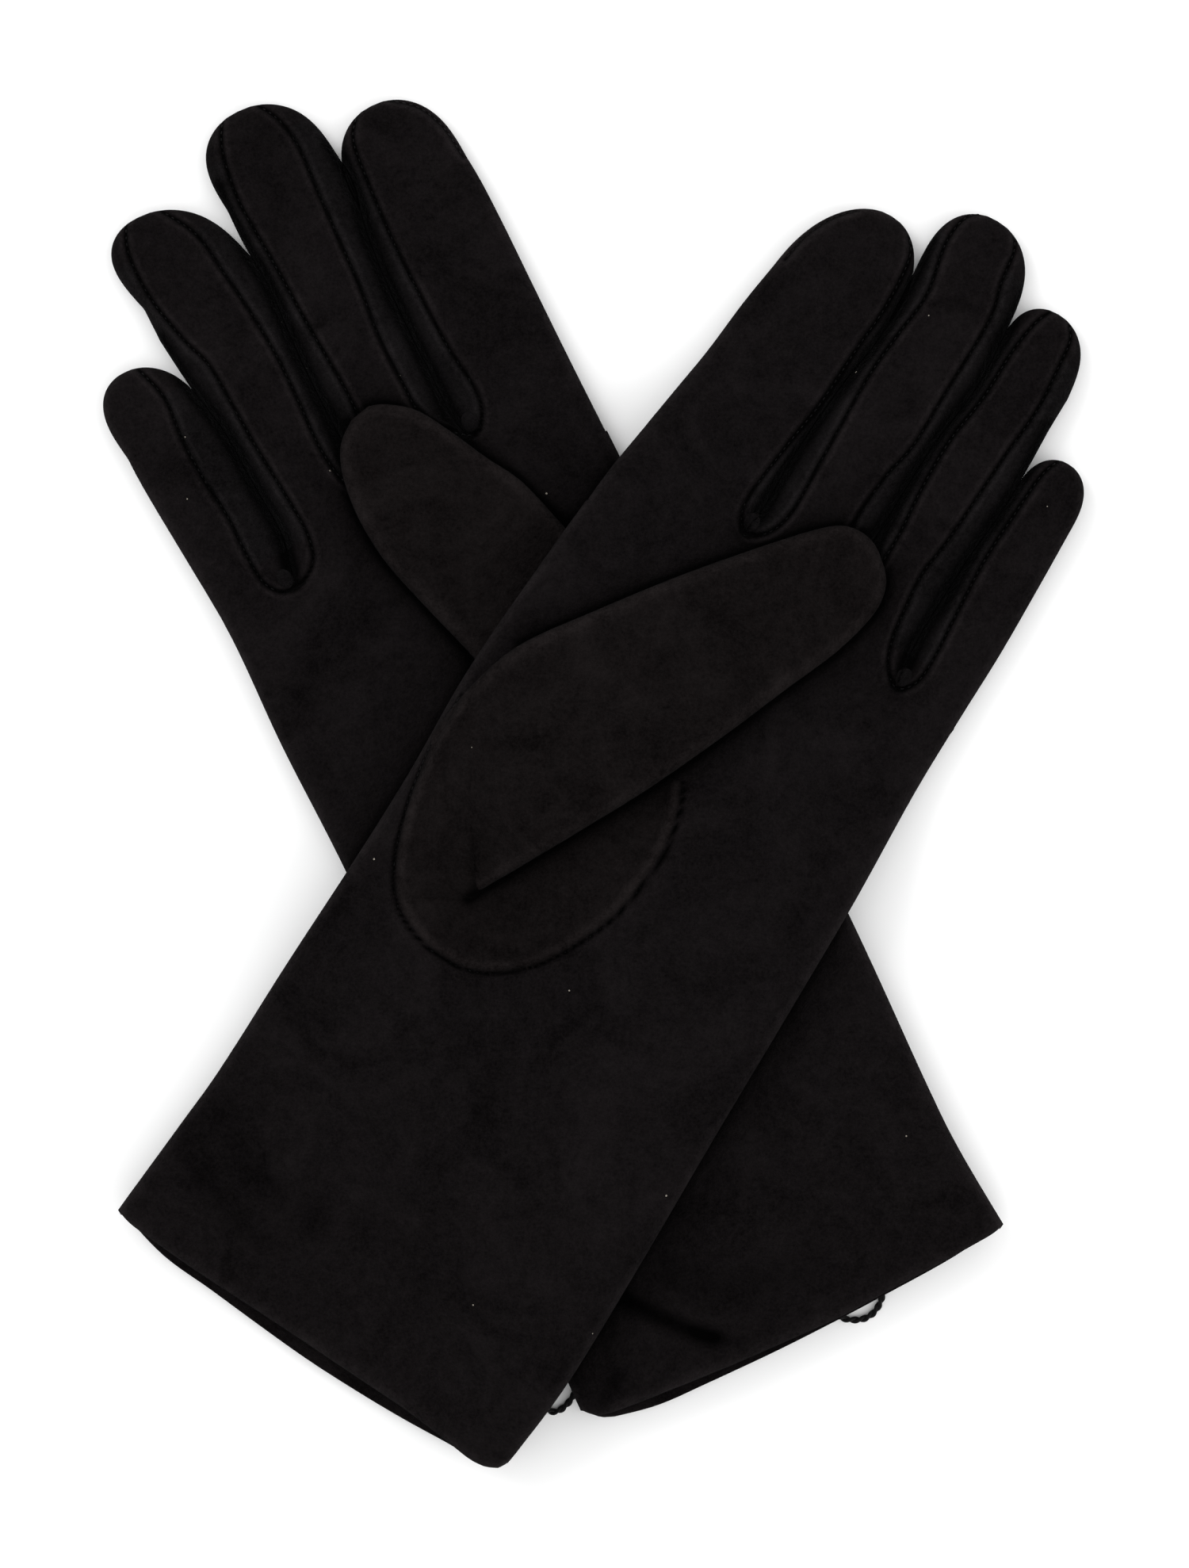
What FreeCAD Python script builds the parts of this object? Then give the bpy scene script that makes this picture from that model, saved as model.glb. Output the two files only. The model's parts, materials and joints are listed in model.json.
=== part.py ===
import FreeCAD, Part

import math
import os

# A pair of suede gloves laid crossed on a table, palms up, each thumb folded over its palm.
# The right glove lies flat and the left glove drapes over it. Millimetres, +Z up.
# Each glove is drawn in its own flat frame: x across it towards the little finger, y from
# the hem towards the fingertips. LAY turns that frame into the shared one.

LAY = {
    "left": {"origin": (-61.6, -120.7), "turn": -31.3, "mirror": 1},
    "right": {"origin": (43.9, -118.5), "turn": 26.75, "mirror": -1},
}

LEATHER = 0.9  # thickness of the suede
LINING = 0.4  # thickness of the knitted lining
LINING_GAP = 0.15  # between the suede and the lining
LINING_REACH = 0.9  # how far along the stall's last open length its lining goes
FACING = 0.8  # thickness of the turned hem inside the cuff
FACING_DEPTH = 12.0  # how far the turned hem reaches into the cuff
FLEX_GAP = 0.3  # each side of a line where a finger or a thumb flexes
PALM_THICK = 8.0  # the empty hand part as it lies
CUFF_EXTRA = 1.2  # the cuff stands this much more open
EXTRA_FADE = (30.0, 90.0)  # between these distances from the hem that comes down to nothing
CUFF_LIFT = 2.7  # the cuff lies on its cord bow
LIFT_FADE = (52.0, 92.0)  # between these distances from the hem it comes down to the table
FLOOR_GAP = 0.35  # undersides stay this far above the table
REST_PRESS = 0.65  # the right glove's skin is drawn this much lower, then pressed flat on the table
DRAPE_CLEAR = 1.0  # between the right glove's top and the left glove's underside
DRAPE_FALL = 36.0  # width of the slope down from the right glove to the table
DRAPE_EDGES = (-48.0, 46.0)  # the right glove's flat top, across it
THUMB_BUMP = 5.9  # how much the right thumb lifts the left glove
BUMP_LINE = ((-24.0, 116.0), (-12.0, 190.0))  # the right thumb's middle line
BUMP_FLAT, BUMP_END = 17.0, 40.0
THUMB_BOTTOM = 9.55  # underside of a folded thumb, above its glove's underside
BASE_PATCH = (8.35, 9.15)  # the thumb's base piece lies on the palm
ROW_STEP = 9.0  # distance between the sections of a tube
SIDE_POINTS = 9  # points along the top, and along the bottom, of each section
SIDE_TURN = 0.8  # a section's rounded sides take up at most this share of it
SEAM_IN = 3.4  # how far in from a finger's side the palm-side seam runs
TIP_ROUND = 12.0  # length over which a fingertip closes
TIP_THIN, TIP_RAISE, TIP_BLUNT = 0.42, 1.6, 0.06  # a fingertip's thickness as a share, its rise, how blunt
ROOT_NOTCH = 1.2  # the finger roots start this much narrower, beside each gusset
QUIRK_WIDE, QUIRK_POINT, QUIRK_LONG = 1.15, 0.22, 4.0  # half widths of a gusset's ends, and its length
QUIRK_LEVELS = ((1.2, 6.8), (1.8, 6.2))  # underside and top at each end of a gusset
BEYOND = 250.0  # a cutting block reaches this far, past both gloves
CORD = 1.6  # diameter of the bow's cord
KNOT = (7.0, 6.0, 2.2)  # the bow's knot
KNOT_ROUND = (1.0, 0.6)  # its rounded corners and top edges
CORNER_SHARE = 0.45  # a cord's arc takes this share of the shorter run at each corner

# Trank outline, from the hem to where the fingers start: (thumb-side point, little-finger-side point)
TRANK = {
    "left": [((-50.6, -1.4), (50.8, -5.2)), ((-49.3, 20), (52.2, 20)), ((-47.8, 50), (52.4, 50)),
             ((-47.2, 80), (52.2, 80)), ((-46.8, 112), (52.0, 112)), ((-46.7, 142), (51.7, 142)),
             ((-45.2, 168), (50.6, 168)), ((-43.2, 196), (50.5, 196))],
    "right": [((-50.9, -2.6), (50.9, -0.8)), ((-49.6, 25), (49.8, 25)), ((-50.4, 55), (48.5, 55)),
              ((-51.3, 85), (47.2, 85)), ((-51.4, 115), (45.4, 115)), ((-51.5, 145), (44.6, 145)),
              ((-51.6, 175), (44.6, 175)), ((-51.6, 200), (43.8, 200))],
}
# Fingers: the line where each flexes, then (y, side towards the thumb, side towards the little finger)
FINGERS = {
    "left": {
        "index": (222, [(196, -43.0, -10.9), (222, -39.5, -10.4), (240, -37.6, -9.4), (254, -35.6, -8.2),
                        (264, -32.3, -8.6), (270, -29.0, -10.8), (274, -25.5, -13.5), (276.3, -22.0, -17.5)]),
        "middle": (222, [(196, -10.4, 14.3), (222, -9.9, 14.4), (240, -8.9, 14.6), (254, -7.4, 15.9),
                         (266, -8.2, 15.2), (276, -9.2, 14.2), (283, -7.4, 12.2), (287.6, -2.6, 8.0)]),
        "ring": (216, [(196, 14.8, 34.6), (216, 14.9, 34.2), (232, 15.1, 34.9), (246, 16.0, 34.7),
                       (258, 16.9, 34.2), (268, 17.0, 33.2), (273.5, 18.8, 31.4), (277.2, 22.0, 28.2)]),
        "pinky": (206, [(196, 35.1, 50.3), (206, 34.9, 50.5), (221, 35.1, 50.2), (234, 35.8, 49.9),
                        (243, 36.0, 48.9), (247.5, 37.0, 46.4), (250.0, 39.0, 43.5)]),
    },
    "right": {
        "index": (222, [(200, -51.4, -23.2), (222, -51.9, -22.8), (240, -52.2, -23.0), (254, -52.2, -24.2),
                        (265, -51.5, -26.4), (273, -50.0, -28.0), (278, -47.0, -30.0), (281.3, -42.0, -35.5)]),
        "middle": (230, [(200, -22.7, 1.2), (230, -22.2, 1.4), (246, -22.4, 1.0), (258, -23.6, 0.5),
                         (268, -25.4, 1.0), (278, -23.9, 1.0), (287, -21.4, -0.2), (293.7, -13.6, -5.2)]),
        "ring": (222, [(200, 1.7, 22.4), (222, 2.0, 23.0), (240, 1.7, 24.2), (254, 1.2, 25.8),
                       (264, 2.4, 26.9), (272, 5.0, 27.3), (278.5, 8.8, 26.4), (282.8, 14.4, 22.0)]),
        "pinky": (210, [(200, 22.9, 43.9), (210, 23.1, 44.1), (222, 23.6, 45.0), (236, 24.4, 45.2),
                        (244, 26.8, 44.9), (249, 29.4, 43.8), (253.3, 33.2, 40.6)]),
    },
}
# Which sides of each finger have a side wall sewn in: -1 towards the thumb, 1 towards the little finger
SIDE_WALLS = {"index": (1,), "middle": (-1, 1), "ring": (-1, 1), "pinky": (-1,)}
# Folded thumbs: pairs of points across, from the fold at the palm's edge to the tip, with thickness
THUMB = {
    "left": [((-43.0, 140), (-21.2, 98), 5.4), ((-37.5, 155), (-14.8, 111), 6.2), ((-28.6, 168), (-7.5, 125), 6.4),
             ((-17.1, 184), (0.0, 139.5), 6.4), ((-7.0, 197), (8.0, 157), 6.4), ((1.5, 206.8), (14.8, 174), 6.2),
             ((6.5, 211.0), (20.6, 189), 5.6), ((10.2, 212.3), (22.6, 200), 4.6), ((14.0, 211.9), (20.6, 207), 3.0)],
    "right": [((-43.0, 138), (-17.0, 98), 4.0), ((-41.0, 150), (-13.0, 114), 4.2), ((-37.0, 166), (-8.5, 135), 4.2),
              ((-33.0, 180), (-4.0, 158), 4.2), ((-29.4, 192), (1.6, 177), 4.8), ((-25.0, 200.5), (4.6, 190), 5.6),
              ((-20.5, 209), (5.6, 201), 5.6), ((-15.5, 216.7), (4.4, 211), 4.6), ((-10.0, 220.9), (0.6, 218.2), 3.0)],
}
THUMB_BEND = {"left": 4, "right": 4}  # the pair at which the thumb's tip lifts
THUMB_OVAL = [(87, -20.0, -12.0), (92, -33.0, -3.0), (102, -39.5, 4.0), (115, -43.0, 8.8),
              (128, -44.2, 10.4), (138, -43.8, 9.4), (146, -41.0, 5.8), (152, -37.0, -4.0)]
QUIRKS = {
    "left": [(-10.65, 196), (14.55, 196), (34.85, 196)],
    "right": [(-22.95, 200), (1.45, 200), (22.65, 200)],
}
BOW_CENTRE = {"left": (4.0, 34.0), "right": (-2.0, 40.0)}
# The bow's cords on the table, each from the knot outwards
BOW_ROUTES = {
    "left": {
        "loop_outer": [(7.2, 35.0), (18, 34.6), (30, 32.4), (41, 30.0), (51.4, 26.4), (54.0, 17.6), (48.6, 10.8),
                       (38.0, 13.6), (26, 20.4), (16, 27.8), (7.2, 32.6)],
        "loop_inner": [(0.8, 35.2), (-10, 37.6), (-22, 42.2), (-34, 44.6), (-43.0, 39.6), (-42.4, 31.0),
                       (-33, 26.2), (-21, 27.4), (-10, 30.6), (0.8, 32.6)],
        "tail_outer": [(5.4, 31.2), (9.0, 23.0), (17.0, 14.6), (28.0, 8.4), (36.0, 3.6)],
        "tail_inner": [(2.6, 31.2), (-1.4, 22.6), (-9.6, 15.4), (-19.6, 12.8), (-28.4, 8.2)],
    },
    "right": {
        "loop_outer": [(-3.4, 37.2), (-8.0, 27.0), (-8.0, 15.4), (-7.0, 4.0), (-9.0, -6.2), (-18.2, -8.6), (-22.6, 0.0),
                       (-20.6, 11.0), (-16.2, 21.6), (-12.6, 32.2), (-4.8, 37.2)],
        "loop_inner": [(1.2, 41.2), (11.6, 44.6), (23.0, 48.4), (33.0, 47.2), (38.4, 40.0), (34.0, 32.4),
                       (23.6, 31.0), (12.6, 35.2), (1.2, 38.8)],
        "tail_outer": [(-0.8, 37.2), (2.6, 27.4), (1.4, 17.0), (5.8, 7.6), (14.6, 4.2)],
        "tail_inner": [(-5.2, 40.0), (-16.0, 41.4), (-26.2, 38.0), (-33.4, 30.4), (-42.0, 27.4)],
    },
}


def smooth(t):
    """A step from 0 to 1 with flat ends."""
    t = min(1.0, max(0.0, t))
    return t * t * (3 - 2 * t)


def across(glove):
    """The glove's x and y directions in the shared frame."""
    turn = math.radians(LAY[glove]["turn"])
    mirror = LAY[glove]["mirror"]
    ex = (mirror * math.cos(turn), mirror * math.sin(turn))
    ey = (-math.sin(turn), math.cos(turn))
    return ex, ey


def to_plan(glove, x, y):
    """A glove point's place on the table."""
    ex, ey = across(glove)
    ox, oy = LAY[glove]["origin"]
    return ox + ex[0] * x + ey[0] * y, oy + ex[1] * x + ey[1] * y


def from_plan(glove, px, py):
    """The glove's own coordinates of a place on the table."""
    ex, ey = across(glove)
    dx = px - LAY[glove]["origin"][0]
    dy = py - LAY[glove]["origin"][1]
    return ex[0] * dx + ex[1] * dy, ey[0] * dx + ey[1] * dy


def fade(y, ends):
    """1 up to the first of two places, 0 past the second."""
    return 1 - smooth((y - ends[0]) / (ends[1] - ends[0]))


def lift(y):
    """How far the cord bow holds a glove's underside off what it lies on."""
    return FLOOR_GAP + CUFF_LIFT * fade(y, LIFT_FADE)


def hand_thick(y):
    """Thickness of the empty cuff and palm."""
    return PALM_THICK + CUFF_EXTRA * fade(y, EXTRA_FADE)


def line_distance(x, y, line):
    """Distance from a point to a straight stretch."""
    (ax, ay), (bx, by) = line
    along = ((x - ax) * (bx - ax) + (y - ay) * (by - ay)) / ((bx - ax) ** 2 + (by - ay) ** 2)
    along = min(1.0, max(0.0, along))
    return math.hypot(x - ax - along * (bx - ax), y - ay - along * (by - ay))


def drape(px, py):
    """Height of the left glove's lie at a place on the table: it goes over the right glove and its thumb."""
    x, y = from_plan("right", px, py)
    inside = smooth((x - DRAPE_EDGES[0]) / DRAPE_FALL + 1) * smooth((DRAPE_EDGES[1] - x) / DRAPE_FALL + 1)
    bump = smooth((BUMP_END - line_distance(x, y, BUMP_LINE)) / (BUMP_END - BUMP_FLAT))
    return inside * (hand_thick(y) + lift(y) + DRAPE_CLEAR) + THUMB_BUMP * bump


def place(glove, x, y, z):
    """A point of a glove as it lies, with z counted from its own underside."""
    px, py = to_plan(glove, x, y)
    height = z + lift(y)
    if glove == "left":
        height += drape(px, py)
    return FreeCAD.Vector(px, py, height)


def section(glove, a, b, low, high, inset):
    """Points round a flat tube's section between two side points, shrunk by inset all round."""
    length = math.hypot(b[0] - a[0], b[1] - a[1])
    ux, uy = (b[0] - a[0]) / length, (b[1] - a[1]) / length
    low, high = low + inset, high - inset
    half = (high - low) / 2
    reach = length / 2 - inset
    turn = min(half, reach * SIDE_TURN)
    eighth = math.sqrt(0.5)
    middle = ((a[0] + b[0]) / 2, (a[1] + b[1]) / 2)
    points = []
    for side, level in ((1, low), (-1, high)):
        for i in range(SIDE_POINTS):
            points.append((side * (2 * i / (SIDE_POINTS - 1) - 1) * (reach - turn), level))
        points.append((side * (reach - turn * (1 - eighth)), low + half - side * half * eighth))
        points.append((side * reach, low + half))
        points.append((side * (reach - turn * (1 - eighth)), low + half + side * half * eighth))
    return [place(glove, middle[0] + ux * s, middle[1] + uy * s, z) for s, z in points]


def close_rows(rows):
    """The rows with more put between them, so that the drape shows."""
    closer = [rows[0]]
    for p, q in zip(rows, rows[1:]):
        apart = math.hypot(p[0][0] + p[1][0] - q[0][0] - q[1][0], p[0][1] + p[1][1] - q[0][1] - q[1][1]) / 2
        count = max(1, math.ceil(apart / ROW_STEP))
        closer += [between(p, q, i / count) for i in range(1, count + 1)]
    return closer


def between(p, q, t):
    """A row part of the way from row p to row q."""
    left, right = blend_point(p[0], q[0], t), blend_point(p[1], q[1], t)
    return left, right, p[2] + t * (q[2] - p[2]), p[3] + t * (q[3] - p[3])


def blend_point(p, q, t):
    """A point part of the way from p to q."""
    return p[0] + t * (q[0] - p[0]), p[1] + t * (q[1] - p[1])


def shifted(row, step):
    """A row moved along the tube, square to itself."""
    (ax, ay), (bx, by), low, high = row
    length = math.hypot(bx - ax, by - ay)
    nx, ny = -(by - ay) / length * step, (bx - ax) / length * step
    return (ax + nx, ay + ny), (bx + nx, by + ny), low, high


def section_curves(glove, rows, inset):
    """A closed curve at each row, all with the same spacing round them."""
    loops = [section(glove, *row, inset) for row in close_rows(rows)]
    spacing = [0.0]
    for p, q in zip(loops[0], loops[0][1:] + loops[0][:1]):
        spacing.append(spacing[-1] + math.sqrt(p.distanceToPoint(q)))
    curves = []
    for loop in loops:
        curve = Part.BSplineCurve()
        curve.interpolate(Points=loop, PeriodicFlag=True, Parameters=spacing)
        curves.append(curve)
    return curves


def skin(curves):
    """The faces from each closed curve to the next."""
    faces = []
    for p, q in zip(curves, curves[1:]):
        surface = Part.BSplineSurface()
        poles = [list(pair) for pair in zip(p.getPoles(), q.getPoles())]
        surface.buildFromPolesMultsKnots(
            poles, p.getMultiplicities(), [2, 2], p.getKnots(), [0.0, 1.0], True, False, p.Degree, 1)
        faces.append(surface.toShape())
    return faces


def wire(curve):
    """A closed curve as a wire."""
    return Part.Wire([curve.toShape()])


def ring(outside, inside):
    """The flat end of a sleeve's wall."""
    return Part.makeFace([wire(outside), wire(inside)], "Part::FaceMakerBullseye").Faces


def closed_solid(faces):
    """The solid that the faces enclose."""
    shell = Part.Shell(faces)
    shell.sewShape()
    solid = Part.Solid(Part.Shell(shell.Faces))
    return solid.reversed() if solid.Volume < 0 else solid


def tube(glove, rows, inset=0.0):
    """A solid through rows of (point, point, low, high)."""
    curves = section_curves(glove, rows, inset)
    return closed_solid(skin(curves) + [Part.Face(wire(curves[0])), Part.Face(wire(curves[-1]))])


def sleeve(glove, rows, outer, wall, closed_rows=0):
    """A tube's wall, from outer inwards, open at its first row.

    It is open at its last row too, unless closed_rows says how many rows early its inside ends.
    """
    outside = section_curves(glove, rows, outer)
    inside = section_curves(glove, rows[: len(rows) - closed_rows], outer + wall)
    faces = skin(outside) + skin(inside) + ring(outside[0], inside[0])
    if closed_rows:
        faces += [Part.Face(wire(outside[-1])), Part.Face(wire(inside[-1]))]
    else:
        faces += ring(outside[-1], inside[-1])
    return closed_solid(faces)


def trank_rows(glove):
    """The cuff and palm, from the hem to the fingers."""
    return [(a, b, 0.0, hand_thick((a[1] + b[1]) / 2)) for a, b in TRANK[glove]]


def finger_rows(glove, finger, first, last):
    """The finger between two lines across it, with a row at each of them."""
    table = FINGERS[glove][finger][1]
    tip = table[-1][0]
    ys = [first] + [y for y, _, _ in table if first + 2 < y < last - 1] + [last]
    rows = []
    for y in ys:
        left, right = sides_at(table, y)
        full = min(1.0, math.sqrt(max(0.0, tip - y) / TIP_ROUND + TIP_BLUNT))
        high = PALM_THICK * (TIP_THIN + (1 - TIP_THIN) * full)
        rows.append(((left, y), (right, y), TIP_RAISE * (1 - full), high))
    return rows


def sides_at(table, y):
    """A finger's two sides on a line across it."""
    for (y0, l0, r0), (y1, l1, r1) in zip(table, table[1:]):
        if y0 <= y <= y1:
            t = (y - y0) / (y1 - y0)
            return l0 + t * (l1 - l0), r0 + t * (r1 - r0)
    return table[-1][1:]


def thumb_rows(glove):
    """The folded thumb, lying on its palm."""
    return [(a, b, THUMB_BOTTOM, THUMB_BOTTOM + thick) for a, b, thick in THUMB[glove]]


def side_cutter(glove, finger, side, first, last):
    """An upright block outside a finger's palm-side seam line."""
    table = FINGERS[glove][finger][1]
    ys = [first - 2] + [y for y, _, _ in table if first < y < last] + [last]
    seam = []
    for y in ys:
        edges = sides_at(table, max(y, table[0][0]))
        edge = edges[0] if side < 0 else edges[1]
        seam.append((edge - side * SEAM_IN, y))
    outside = [(x + side * 2 * SEAM_IN, y) for x, y in reversed(seam)]
    corners = [FreeCAD.Vector(*to_plan(glove, x, y), -BEYOND) for x, y in seam + outside]
    face = Part.Face(Part.makePolygon(corners + corners[:1]))
    return face.extrude(FreeCAD.Vector(0, 0, 2 * BEYOND))


def make_finger(glove, finger, nodes):
    """The moving part of a finger: its stall, its side walls and its lining."""
    flex, table = FINGERS[glove][finger]
    tip = table[-1][0]
    rows = finger_rows(glove, finger, flex + FLEX_GAP, tip)
    stall = sleeve(glove, rows, 0.0, LEATHER, 1)
    names = {-1: "thumb_side", 1: "pinky_side"}
    for side in SIDE_WALLS[finger]:
        cutter = side_cutter(glove, finger, side, flex, tip - TIP_ROUND * 0.7)
        nodes[f"{glove}_{finger}_fourchette_{names[side]}"] = stall.common(cutter)
        stall = stall.cut(cutter)
    nodes[f"{glove}_{finger}_stall"] = stall
    inside = rows[:-2] + [between(rows[-3], rows[-2], LINING_REACH)]
    nodes[f"{glove}_{finger}_lining"] = sleeve(glove, inside, LEATHER + LINING_GAP, LINING, 1)


def make_roots(glove):
    """The fixed lengths of the four fingers, from the palm to their flex lines."""
    start = TRANK[glove][-1][0][1]
    roots = []
    for finger, (flex, _) in FINGERS[glove].items():
        rows = finger_rows(glove, finger, start, flex - FLEX_GAP)
        (ax, ay), (bx, by), low, high = rows[0]
        outer_left = ax + (0 if finger == "index" else ROOT_NOTCH)
        outer_right = bx - (0 if finger == "pinky" else ROOT_NOTCH)
        rows[0] = ((outer_left, ay), (outer_right, by), low, high)
        middle_y = (start + flex) / 2
        left, right = sides_at(FINGERS[glove][finger][1], middle_y)
        rows.insert(1, ((left, middle_y), (right, middle_y), low, high))
        roots.append(sleeve(glove, rows, 0.0, LEATHER))
    return Part.makeCompound(roots)


def make_quirks(glove):
    """The small gussets in the crotches between the fingers."""
    parts = []
    for x, y in QUIRKS[glove]:
        base = ((x - QUIRK_WIDE, y + 0.1), (x + QUIRK_WIDE, y + 0.1), *QUIRK_LEVELS[0])
        end = y + QUIRK_LONG
        point = ((x - QUIRK_POINT, end), (x + QUIRK_POINT, end), *QUIRK_LEVELS[1])
        wires = [gusset_section(glove, row) for row in (base, point)]
        parts.append(Part.makeLoft(wires, True, True))
    return Part.makeCompound(parts)


def gusset_section(glove, row):
    """A gusset's four-cornered section."""
    a, b, low, high = row
    corners = [place(glove, *a, low), place(glove, *b, low), place(glove, *b, high), place(glove, *a, high)]
    return Part.makePolygon(corners + corners[:1])


def make_base_patch(glove):
    """The thumb piece's oval base, sewn onto the palm."""
    low, high = BASE_PATCH
    rows = [((left, y), (right, y), low, high) for y, left, right in THUMB_OVAL]
    return tube(glove, rows)


def make_thumb(glove, nodes):
    """The folded thumb in two lengths, with its lining."""
    rows = thumb_rows(glove)
    bend = THUMB_BEND[glove]
    lower = rows[:bend] + [shifted(rows[bend], -FLEX_GAP)]
    upper = [shifted(rows[bend], FLEX_GAP)] + rows[bend + 1:]
    nodes[f"{glove}_thumb"] = sleeve(glove, lower, 0.0, LEATHER)
    nodes[f"{glove}_thumb_tip"] = sleeve(glove, upper, 0.0, LEATHER, 2)
    nodes[f"{glove}_thumb_lining"] = sleeve(glove, lower, LEATHER + LINING_GAP, LINING)


def make_hand(glove, nodes):
    """Trank, lining and turned hem."""
    rows = trank_rows(glove)
    if glove == "right":
        rows = [(a, b, -REST_PRESS, high) for a, b, _, high in rows]
        nodes["right_trank"] = flatten_underside(sleeve(glove, rows, 0.0, LEATHER))
    else:
        nodes["left_trank"] = sleeve(glove, rows, 0.0, LEATHER)
    facing_rows = cut_rows(rows, 0.4, FACING_DEPTH)
    lining_rows = cut_rows(rows, FACING_DEPTH + 0.4, rows[-1][0][1] - 0.5)
    nodes[f"{glove}_hem_facing"] = sleeve(glove, facing_rows, LEATHER + LINING_GAP, FACING)
    nodes[f"{glove}_hand_lining"] = sleeve(glove, lining_rows, LEATHER + LINING_GAP, LINING)


def flatten_underside(shape):
    """Presses the lowest skin flat onto the table."""
    slab = Part.makeBox(2 * BEYOND, 2 * BEYOND, BEYOND, FreeCAD.Vector(-BEYOND, -BEYOND, -BEYOND))
    return shape.cut(slab)


def cut_rows(rows, start, end):
    """Rows of a part of the hand between two distances from the hem."""
    cut = []
    for distance in [start] + [r[0][1] for r in rows if start + 4 < r[0][1] < end - 4] + [end]:
        for p, q in zip(rows, rows[1:]):
            if p[0][1] <= distance <= q[0][1] or q is rows[-1]:
                cut.append(between(p, q, (distance - p[0][1]) / (q[0][1] - p[0][1])))
                break
    return cut


def make_knot(glove):
    """The bow's knot, under the back of the cuff."""
    x, y = BOW_CENTRE[glove]
    wide, deep, high = KNOT
    block = Part.makeBox(wide, deep, high, FreeCAD.Vector(-wide / 2, -deep / 2, 0))
    upright = [e for e in block.Edges if abs(e.Vertexes[0].Z - e.Vertexes[-1].Z) > high / 2]
    block = block.makeFillet(KNOT_ROUND[0], upright)
    top = [e for e in block.Edges if e.CenterOfMass.z > high - 0.01]
    block = block.makeFillet(KNOT_ROUND[1], top)
    px, py = to_plan(glove, x, y)
    ex, _ = across(glove)
    block.rotate(FreeCAD.Vector(0, 0, 0), FreeCAD.Vector(0, 0, 1), math.degrees(math.atan2(ex[1], ex[0])))
    block.translate(FreeCAD.Vector(px, py, 0.02))
    return block


def make_cord(name, glove, route):
    """A cord lying on the table: straight runs joined by tangent arcs."""
    points = [FreeCAD.Vector(*to_plan(glove, x, y), CORD / 2) for x, y in route]
    edges = []
    start = points[0]
    tightest = 1e9
    for before, corner, after in zip(points, points[1:], points[2:]):
        into = corner - before
        out = after - corner
        half_turn = into.getAngle(out) / 2
        back = CORNER_SHARE * min(into.Length, out.Length)
        tightest = min(tightest, back / math.tan(half_turn))
        into.normalize()
        out.normalize()
        a = corner - into * back
        b = corner + out * back
        bisector = (out - into).normalize()
        radius = back / math.tan(half_turn)
        centre = corner + bisector * (radius / math.cos(half_turn))
        middle = centre - bisector * radius
        edges.append(Part.makeLine(start, a))
        edges.append(Part.Arc(a, middle, b).toShape())
        start = b
    edges.append(Part.makeLine(start, points[-1]))
    path = Part.Wire(edges)
    ring = Part.Wire([Part.makeCircle(CORD / 2, points[0], points[1] - points[0])])
    shape = path.makePipeShell([ring], True, False)
    expected = math.pi * (CORD / 2) ** 2 * path.Length
    print(f"{name}: length {path.Length:.1f}, tightest radius {tightest:.1f}, "
          f"volume {shape.Volume:.1f} of {expected:.1f}, valid {shape.isValid()}")
    return shape


def print_hinge(name, glove, row, height):
    """The place and direction of a flexing line, in metres."""
    (ax, ay), (bx, by), _, _ = row
    points = [place(glove, ax + t * (bx - ax), ay + t * (by - ay), height) for t in (0, 0.25, 0.5, 0.75, 1)]
    along = points[-1] - points[0]
    along.z = 0
    along.normalize()
    if LAY[glove]["mirror"] < 0:
        along = along * -1
    middle = points[2]
    top = max(p.z for p in points)
    print(f'"{name}": axis [{along.x:.4f}, {along.y:.4f}, 0], '
          f"pos_m [{middle.x / 1000:.4f}, {middle.y / 1000:.4f}, {top / 1000:.4f}]")


def print_hinges(glove):
    """Every flexing line of a glove."""
    for finger, (flex, _) in FINGERS[glove].items():
        row = finger_rows(glove, finger, flex, FINGERS[glove][finger][1][-1][0])[0]
        print_hinge(f"{glove}_{finger}", glove, row, row[3])
    rows = thumb_rows(glove)
    bend = rows[THUMB_BEND[glove]]
    print_hinge(f"{glove}_thumb_fold", glove, rows[0], THUMB_BOTTOM)
    print_hinge(f"{glove}_thumb_bend", glove, bend, bend[3])


def make_glove(glove):
    """Every node of one glove."""
    nodes = {}
    make_hand(glove, nodes)
    nodes[f"{glove}_finger_roots"] = make_roots(glove)
    nodes[f"{glove}_quirks"] = make_quirks(glove)
    nodes[f"{glove}_thumb_base"] = make_base_patch(glove)
    make_thumb(glove, nodes)
    for finger in FINGERS[glove]:
        make_finger(glove, finger, nodes)
    nodes[f"{glove}_bow_knot"] = make_knot(glove)
    for cord, route in BOW_ROUTES[glove].items():
        name = f"{glove}_bow_{cord}"
        nodes[name] = make_cord(name, glove, route)
    print_hinges(glove)
    return nodes


os.makedirs("parts", exist_ok=True)
for glove in LAY:
    for name, shape in make_glove(glove).items():
        shape.exportStep(f"parts/{name}.step")
        box = shape.BoundBox
        print(f"{name}: valid {shape.isValid()}, solids {len(shape.Solids)}, volume {shape.Volume:.0f}, "
              f"x {box.XMin:.1f} {box.XMax:.1f}, y {box.YMin:.1f} {box.YMax:.1f}, z {box.ZMin:.2f} {box.ZMax:.2f}")
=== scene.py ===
import json
import math
import random

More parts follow.
